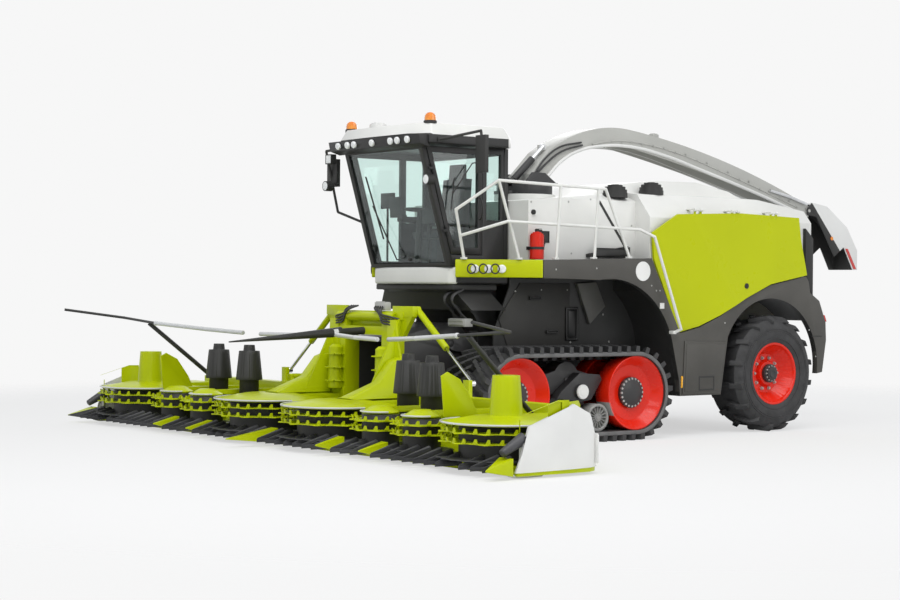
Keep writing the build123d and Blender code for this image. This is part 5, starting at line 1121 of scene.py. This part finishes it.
# Spout: a long folded channel in light grey enamel, its lower wall bolted along a flange, with a
# white end box and a red reflector on the hanging flap.
SPOUT_GREY = (0.46, 0.46, 0.43, 1)
spout_paint = paint("spout_enamel", SPOUT_GREY, rough=0.36)
softened("spout", spout_paint, 0.012, segments=3)
deflector_box = softened("spout_deflector", cap_white, 0.006)
FLAP_LINE_TOP = (-6.40, 3.04)
FLAP_LINE_LOW = (-7.02, 2.34)
flap_across = Vector((FLAP_LINE_TOP[1] - FLAP_LINE_LOW[1], 0, FLAP_LINE_LOW[0] - FLAP_LINE_TOP[0]))
flap_top = spot(FLAP_LINE_TOP[0], 0, FLAP_LINE_TOP[1])
cut_through(deflector_box, flap_top, flap_across)


def flap_dark(middle, normal):
    """The flap's inside, and the part of its cheeks below the painted box."""
    if 0.20 < abs(middle.y) < 0.222:
        return True
    if abs(middle.y) <= 0.20:
        return normal.z - 0.5 * normal.x < 0
    return (middle - flap_top).dot(flap_across) > 0


parted(deflector_box, "flap_inside", dark_plastic, "spout_deflector", flap_dark)
SPOUT_LINE = (
    (-2.30, 3.665), (-2.62, 3.725), (-2.96, 3.735), (-3.35, 3.700), (-3.75, 3.635), (-4.15, 3.545),
    (-4.55, 3.435), (-4.95, 3.325), (-5.35, 3.210), (-5.75, 3.090), (-6.10, 2.985)
)
strips = joined(
    [rod_piece([spot(x, y, z) for x, z in SPOUT_LINE], 0.009, smooth=True) for y in (0.203, -0.203)]
)
finished(strips, "spout_flange", spout_paint, "spout")
spout_bolts = bolts_at(
    0.011, 0.010, 0.208, [(x + dx, z + dz) for x, z in SPOUT_LINE for dx, dz in ((0, 0), (-0.19, -0.02))]
)
finished(spout_bolts, "spout_bolts_left", zinc, "spout")
twin(spout_bolts, "spout_bolts_right")
lugs = []
for x, z in ((-3.55, 3.845), (-4.75, 3.535), (-5.60, 3.255)):
    lug = slab((x - 0.05, x + 0.05), (-0.05, 0.05), (z - 0.03, z + 0.03))
    stepped(lug, (0, 0, 1), ((0.012, 0.012),))
    eased(lug, 0.006)
    lugs.append(lug)
finished(joined(lugs), "spout_lugs", spout_paint, "spout")
EDGE_LINE = (
    (-1.50, 3.17), (-1.80, 3.44), (-2.05, 3.565), (-2.40, 3.645), (-2.96, 3.668), (-3.60, 3.575),
    (-4.20, 3.430), (-4.80, 3.280), (-5.40, 3.120), (-5.90, 2.975), (-6.25, 2.870)
)
# The tubes along the spout's lower edges are real. Their white finish, lighter than the spout's grey, is
# painted highlight where the light catches that edge.
edges = joined(
    [rod_piece([spot(x, y, z) for x, z in EDGE_LINE], 0.021, smooth=True) for y in (0.205, -0.205)]
)
finished(edges, "spout_edge_tubes", cap_white, "spout")
flap_motor = rod_piece(
    [spot(-5.55, 0.215, 3.20), spot(-5.95, 0.225, 3.12), spot(-6.28, 0.235, 3.03)], 0.020
)
finished(flap_motor, "flap_link", chrome, "spout")
red_bar = side_plate(((-7.085, 2.42), (-7.135, 2.42), (-7.318, 2.13), (-7.266, 2.13)), 0.229, 0.010)
stepped(red_bar, (0, 1, 0), ((0.010, 0.008),))
finished(red_bar, "flap_reflector", tail_red, "spout_deflector")
marker = round_bar(28, 0.026, 0.012, spot(-6.80, 0.232, 2.56), ACROSS)
stepped(marker, (0, 1, 0), ((0.004, 0.002), (0.008, 0.002)))
finished(marker, "flap_marker", beacon_orange, "spout_deflector")

# Spout joint: two black hydraulic lines that bend up from the turret along the channel's root, where
# they are clamped.
lines = [
    rod_piece(
        [
            spot(-1.33, 0.215, 3.24), spot(-1.50, 0.215, 3.44), spot(-1.74, 0.215, 3.60),
            spot(-2.10, 0.215, 3.68)
        ],
        0.012, smooth=True
    ),
    rod_piece(
        [
            spot(-1.30, 0.215, 3.18), spot(-1.52, 0.215, 3.38), spot(-1.78, 0.215, 3.55),
            spot(-2.12, 0.215, 3.645)
        ],
        0.012, smooth=True
    ),
]
finished(joined(lines), "spout_lines", belt_rubber, "spout")

# Header frames: welded beams, pans, yoke and lids in lime enamel. The end hoods are white mouldings,
# the fingers dark castings, the guide tubes bright and the bows black.
HEADER_LIME = (0.48, 0.56, 0.002, 1)
header_paint = paint("header_enamel", HEADER_LIME, rough=0.34, coat=0.10, wear=0.08, shine=0.15)
finger_grey = paint("finger_casting", (0.060, 0.060, 0.064, 1), rough=0.38, coat=0.0, wear=0.3, peel=0.3)
bright_steel = paint("bright_steel", (0.60, 0.61, 0.61, 1), rough=0.22, coat=0.3, wear=0.1)


BIG_DISC_X, SMALL_DISC_X = 1.906, 2.12
BIG_INNER_Y, BIG_OUTER_Y = 0.75, 3.75
SMALL_INNER_Y, SMALL_OUTER_Y = 1.875, 2.625
GUARD_STEP = 0.1875


def off_disc(middle):
    """Distance in plan from the outer big disc's axis."""
    return math.hypot(middle.x - STATION - BIG_DISC_X, abs(middle.y) - BIG_OUTER_Y)


def on_guard(middle):
    """Whether a face belongs to one of the pointed guards on the pan's front edge."""
    steps = abs(middle.y) / GUARD_STEP
    return middle.x - STATION > 2.334 and 0.06 < middle.z < 0.112 and abs(steps - round(steps)) < 0.17


centre = softened("header_centre", header_paint, 0.005)
parted(
    centre, "fingers_centre", finger_grey, "header_centre",
    lambda middle, normal: on_guard(middle) and abs(middle.y) > 0.1 and abs(abs(middle.y) - 1.428) > 0.07
)
parted(
    centre, "guide_tube_centre", bright_steel, "header_centre",
    lambda middle, normal: middle.z > 1.2 and middle.x - STATION > 1.455 and abs(middle.y) > 0.03
        and (abs(middle.y) > 0.09 or middle.x - STATION < 1.53)
)
parted(
    centre, "middle_cone", dark_plastic, "header_centre",
    lambda middle, normal: middle.z > 1.1 and abs(middle.y) < 0.075 and middle.x - STATION > 1.085
)
for side, sign in (("left", 1), ("right", -1)):
    node = f"header_wing_{side}"
    wing = softened(node, header_paint, 0.005)
    end_hood = parted(
        wing, f"end_hood_{side}", cap_white, node,
        lambda middle, normal: off_disc(middle) > 0.745 and abs(middle.y) > 4.28
            and middle.x - STATION < 2.45 and middle.z > 0.125
    )
    chosen(end_hood)
    bpy.ops.object.mode_set(mode="EDIT")
    for x1, z1, x2, z2 in (
        (2.33, 0.14, 2.216, 0.50), (2.216, 0.50, 1.66, 0.70), (1.66, 0.70, 1.44, 0.60),
        (1.44, 0.60, 1.29, 0.30)
    ):
        bpy.ops.mesh.select_all(action="SELECT")
        bpy.ops.mesh.bisect(
            plane_co=spot(x1, 0, z1), plane_no=(z2 - z1, 0, x1 - x2), clear_outer=True, use_fill=True
        )
    leave_edit()
    bpy.ops.mesh.primitive_cone_add(
        vertices=28, radius1=0.062, radius2=0.040, depth=0.30, location=spot(2.35, sign * 4.415, 0.32),
        rotation=(0, math.radians(118), 0)
    )
    nose = applied()
    eased(nose, 0.012, 3)
    finished(nose, f"hood_nose_{side}", finger_grey, f"wing_{side}")
    skid = rod_piece(
        [
            spot(2.50, sign * 4.40, 0.115), spot(2.38, sign * 4.41, 0.040), spot(2.20, sign * 4.41, 0.024),
            spot(1.98, sign * 4.40, 0.026)
        ],
        0.017, smooth=True
    )
    finished(skid, f"hood_skid_{side}", cap_white, f"wing_{side}")
    fin = side_plate(
        (
            (1.62, 0.125), (1.80, 0.125), (1.84, 0.50), (2.12, 0.50), (2.16, 0.92), (2.08, 0.96),
            (1.92, 0.88), (1.76, 0.66), (1.66, 0.45)
        ),
        sign * 3.005 - 0.007, 0.014
    )
    stepped(fin, (0, sign, 0), ((0.015, 0.004),))
    eased(fin, 0.004)
    finished(fin, f"crop_fin_{side}", header_paint, f"wing_{side}")
    parted(
        wing, f"fingers_{side}", finger_grey, node,
        lambda middle, normal: on_guard(middle) and abs(abs(middle.y) - 2.25) > 0.09
            and abs(middle.y) < 4.36
    )
    parted(
        wing, f"guide_bow_{side}", dark_plastic, node,
        lambda middle, normal: middle.z > 1.2 and abs(middle.y) > 3.24
    )
    parted(
        wing, f"guide_tube_{side}", bright_steel, node,
        lambda middle, normal: middle.z > 1.18 and abs(middle.y) > 1.53
    )
    parted(
        wing, f"guide_post_{side}", dark_plastic, node,
        lambda middle, normal: middle.z > 0.66 and 3.21 < abs(middle.y) < 3.43
            and middle.x - STATION < 2.10 and off_disc(middle) > 0.17
    )

# Gathering rotors: toothed rings in lime enamel round smooth cores, whose walls carry painted shade in
# the dark moulding, drums with black moulded hoods, and a polished steel arc in front of each lid.
ROTORS = (
    ("disc_big_inner", BIG_DISC_X, BIG_INNER_Y, 0.472, 0.640, 30),
    ("disc_big_outer", BIG_DISC_X, BIG_OUTER_Y, 0.472, 0.640, 30),
    ("disc_small_inner", SMALL_DISC_X, SMALL_INNER_Y, 0.202, 0.300, 16),
    ("disc_small_outer", SMALL_DISC_X, SMALL_OUTER_Y, 0.202, 0.300, 16),
)
for side, sign in (("left", 1), ("right", -1)):
    for kind, x, y, core_radius, hook_radius, hooks in ROTORS:
        node = f"{kind}_{side}"
        rotor = softened(node, header_paint, 0.002, segments=1)
        parted(
            rotor, f"{kind}_knives_{side}", finger_grey, node,
            lambda middle, normal: middle.z < 0.152
        )
        # Painted shade: the cores' side walls under the lids take the dark moulding, for the shade that
        # falls beneath the lids.
        parted(
            rotor, f"{kind}_core_{side}", dark_plastic, node,
            lambda middle, normal: math.hypot(middle.x - STATION - x, middle.y - sign * y) < core_radius
                and abs(normal.z) < 0.5
        )
        for z in (0.314, 0.414):
            hook = cuboid((hook_radius, 0, 0.022), (0.010, 0.052, 0.046))
            pick(hook, lambda middle, normal: normal.z > 0.9)
            bpy.ops.transform.resize(value=(1, 0.45, 1))
            bpy.ops.transform.translate(value=(0.010, 0.012, 0))
            leave_edit()
            teeth = repeated(
                hook, [((STATION + x, sign * y, z), (0, 0, 2 * math.pi * i / hooks)) for i in range(hooks)]
            )
            finished(teeth, f"{kind}_hooks_{round(z * 1000)}_{side}", header_paint, node)
for side in ("left", "right"):
    for kind in ("drum_inner", "drum_outer"):
        node = f"{kind}_{side}"
        drum = softened(node, header_paint, 0.002, segments=1)
        parted(
            drum, f"{kind}_hood_{side}", dark_plastic, node,
            lambda middle, normal: middle.z > 0.66 or 0.40 < middle.z < 0.58
        )


def arc_run(x, y, radius, z, spread):
    """A bar bent round the front of a disc."""
    turns = [math.radians(-spread + spread * i / 5) for i in range(11)]
    return rod_piece(
        [spot(x + radius * math.cos(turn), y + radius * math.sin(turn), z) for turn in turns], 0.010,
        smooth=True
    )


BIG_ARC = (0.652, 0.497, 82)      # radius, height and half spread in degrees
SMALL_ARC = (0.212, 0.497, 78)
centre_arcs = joined([arc_run(BIG_DISC_X, y, *BIG_ARC) for y in (BIG_INNER_Y, -BIG_INNER_Y)])
finished(centre_arcs, "lid_arcs_centre", bright_steel, "feeder")
for side, sign in (("left", 1), ("right", -1)):
    arcs = [
        arc_run(BIG_DISC_X, sign * BIG_OUTER_Y, *BIG_ARC),
        arc_run(SMALL_DISC_X, sign * SMALL_INNER_Y, *SMALL_ARC),
        arc_run(SMALL_DISC_X, sign * SMALL_OUTER_Y, *SMALL_ARC),
    ]
    finished(joined(arcs), f"lid_arcs_{side}", bright_steel, f"wing_{side}")

# Fold cylinders: lime enamelled tubes between the yoke's shoulders and the wings, with the chromed
# rods that are finished further up.
for side in ("left", "right"):
    softened(f"fold_barrel_{side}", header_paint, 0.003)

# Yoke fittings: a lime sheet and tube across the yoke, a folded ridge on each lid, and hydraulic
# lines in black rubber that run from a plated valve block to the shoulders.
cross_sheet = slab((0.96, 0.985), (-0.375, 0.375), (1.355, 1.445))
stepped(cross_sheet, (1, 0, 0), ((0.02, 0.006),))
eased(cross_sheet, 0.004)
finished(cross_sheet, "yoke_sheet", header_paint, "feeder")
top_tube = round_bar(28, 0.052, 1.16, spot(1.035, 0, 1.475), (math.radians(90), 0, 0))
stepped(top_tube, (0, 1, 0), ((0.010, 0.014), (0.012, -0.006)))
stepped(top_tube, (0, -1, 0), ((0.010, 0.014), (0.012, -0.006)))
finished(top_tube, "yoke_top_tube", header_paint, "feeder")
for side, sign in (("left", 1), ("right", -1)):
    ridge = side_plate(
        ((1.10, 0.56), (1.10, 1.02), (1.22, 0.98), (1.42, 0.74), (1.86, 0.575), (1.86, 0.56)),
        sign * 0.78 - 0.17, 0.34
    )
    pick(ridge, lambda middle, normal: normal.z > 0.2)
    bpy.ops.transform.resize(value=(1, 0.45, 1))
    leave_edit()
    eased(ridge, 0.008)
    finished(ridge, f"lid_ridge_{side}", header_paint, "feeder")
block_piece = slab((0.95, 1.03), (0.16, 0.38), (1.545, 1.64))
stepped(block_piece, (0, 0, 1), ((0.01, 0.006),))
stepped(block_piece, (1, 0, 0), ((0.012, 0.008),))
eased(block_piece, 0.005)
finished(block_piece, "valve_block", zinc, "feeder")
YOKE_LINES = 4                # on each side
yoke_lines = []
for i in range(YOKE_LINES):
    for y_side in (1, -1):
        root = spot(1.02, y_side * (0.19 + 0.045 * i), 1.60)
        rise = spot(1.085, y_side * (0.24 + 0.045 * i), 1.57 - 0.008 * i)
        along_tube = spot(1.100, y_side * 0.40, 1.505 - 0.028 * i)
        clip = spot(1.090, y_side * 0.56, 1.475 - 0.030 * i)
        end_place = spot(1.03, y_side * 0.66, 1.450 - 0.035 * i)
        yoke_lines.append(rod_piece([root, rise, along_tube, clip, end_place], 0.011, smooth=True))
finished(joined(yoke_lines), "yoke_lines", belt_rubber, "feeder")

# Harvester's couplings for the header: a plated block beside the feeder, with short hydraulic lines
# that rise from it to the underside of the cab.
coupling = slab((0.10, 0.22), (0.52, 0.84), (1.36, 1.45))
stepped(coupling, (1, 0, 0), ((0.014, 0.012), (0.010, -0.006)))
stepped(coupling, (0, 0, 1), ((0.012, 0.006),))
eased(coupling, 0.004)
finished(coupling, "coupling_block", zinc, "harvester")
COUPLING_LINES = 6
COUPLING_PITCH = 0.048
coupling_lines = []
for i in range(COUPLING_LINES):
    y = 0.56 + COUPLING_PITCH * i
    reach = 0.05 * (i % 3)
    coupling_lines.append(
        rod_piece(
            [
                spot(0.16, y, 1.45), spot(0.20 + reach, y + 0.01, 1.56),
                spot(0.34 + reach * 0.6, y + 0.04, 1.68), spot(0.22, y + 0.02, 1.80)
            ],
            0.012, smooth=True
        )
    )
finished(joined(coupling_lines), "coupling_lines", belt_rubber, "harvester")

# Crop fingers: pointed dark castings with a ridge, bolted over the pan's guards along the header's
# front edge.
FINGER_PLACE = (STATION + 2.462, 0, 0.138)
FINGER_LENGTH = 0.34
FINGER_LEAN = math.radians(99)          # nine degrees below the level, point first
for name, body, middle_y, skipped in (
    ("centre", "feeder", 0.0, (0,)), ("left", "wing_left", 3.0, (-4, 4)),
    ("right", "wing_right", -3.0, (-4, 4))
):
    bpy.ops.mesh.primitive_cone_add(
        vertices=8, radius1=0.052, radius2=0.006, depth=FINGER_LENGTH, location=FINGER_PLACE,
        rotation=(0, FINGER_LEAN, 0)
    )
    finger = applied()
    edit_all()
    bpy.ops.transform.resize(value=(1, 0.55, 1.05), center_override=FINGER_PLACE)
    leave_edit()
    stepped(finger, (-0.99, 0, 0.156), ((0.008, 0.014),))
    eased(finger, 0.003, 1, 40)
    places = [((0, middle_y + GUARD_STEP * i, 0), (0, 0, 0)) for i in range(-7, 8) if i not in skipped]
    finished(repeated(finger, places), f"crop_fingers_{name}", finger_grey, body)

bpy.ops.object.select_all(action="DESELECT")
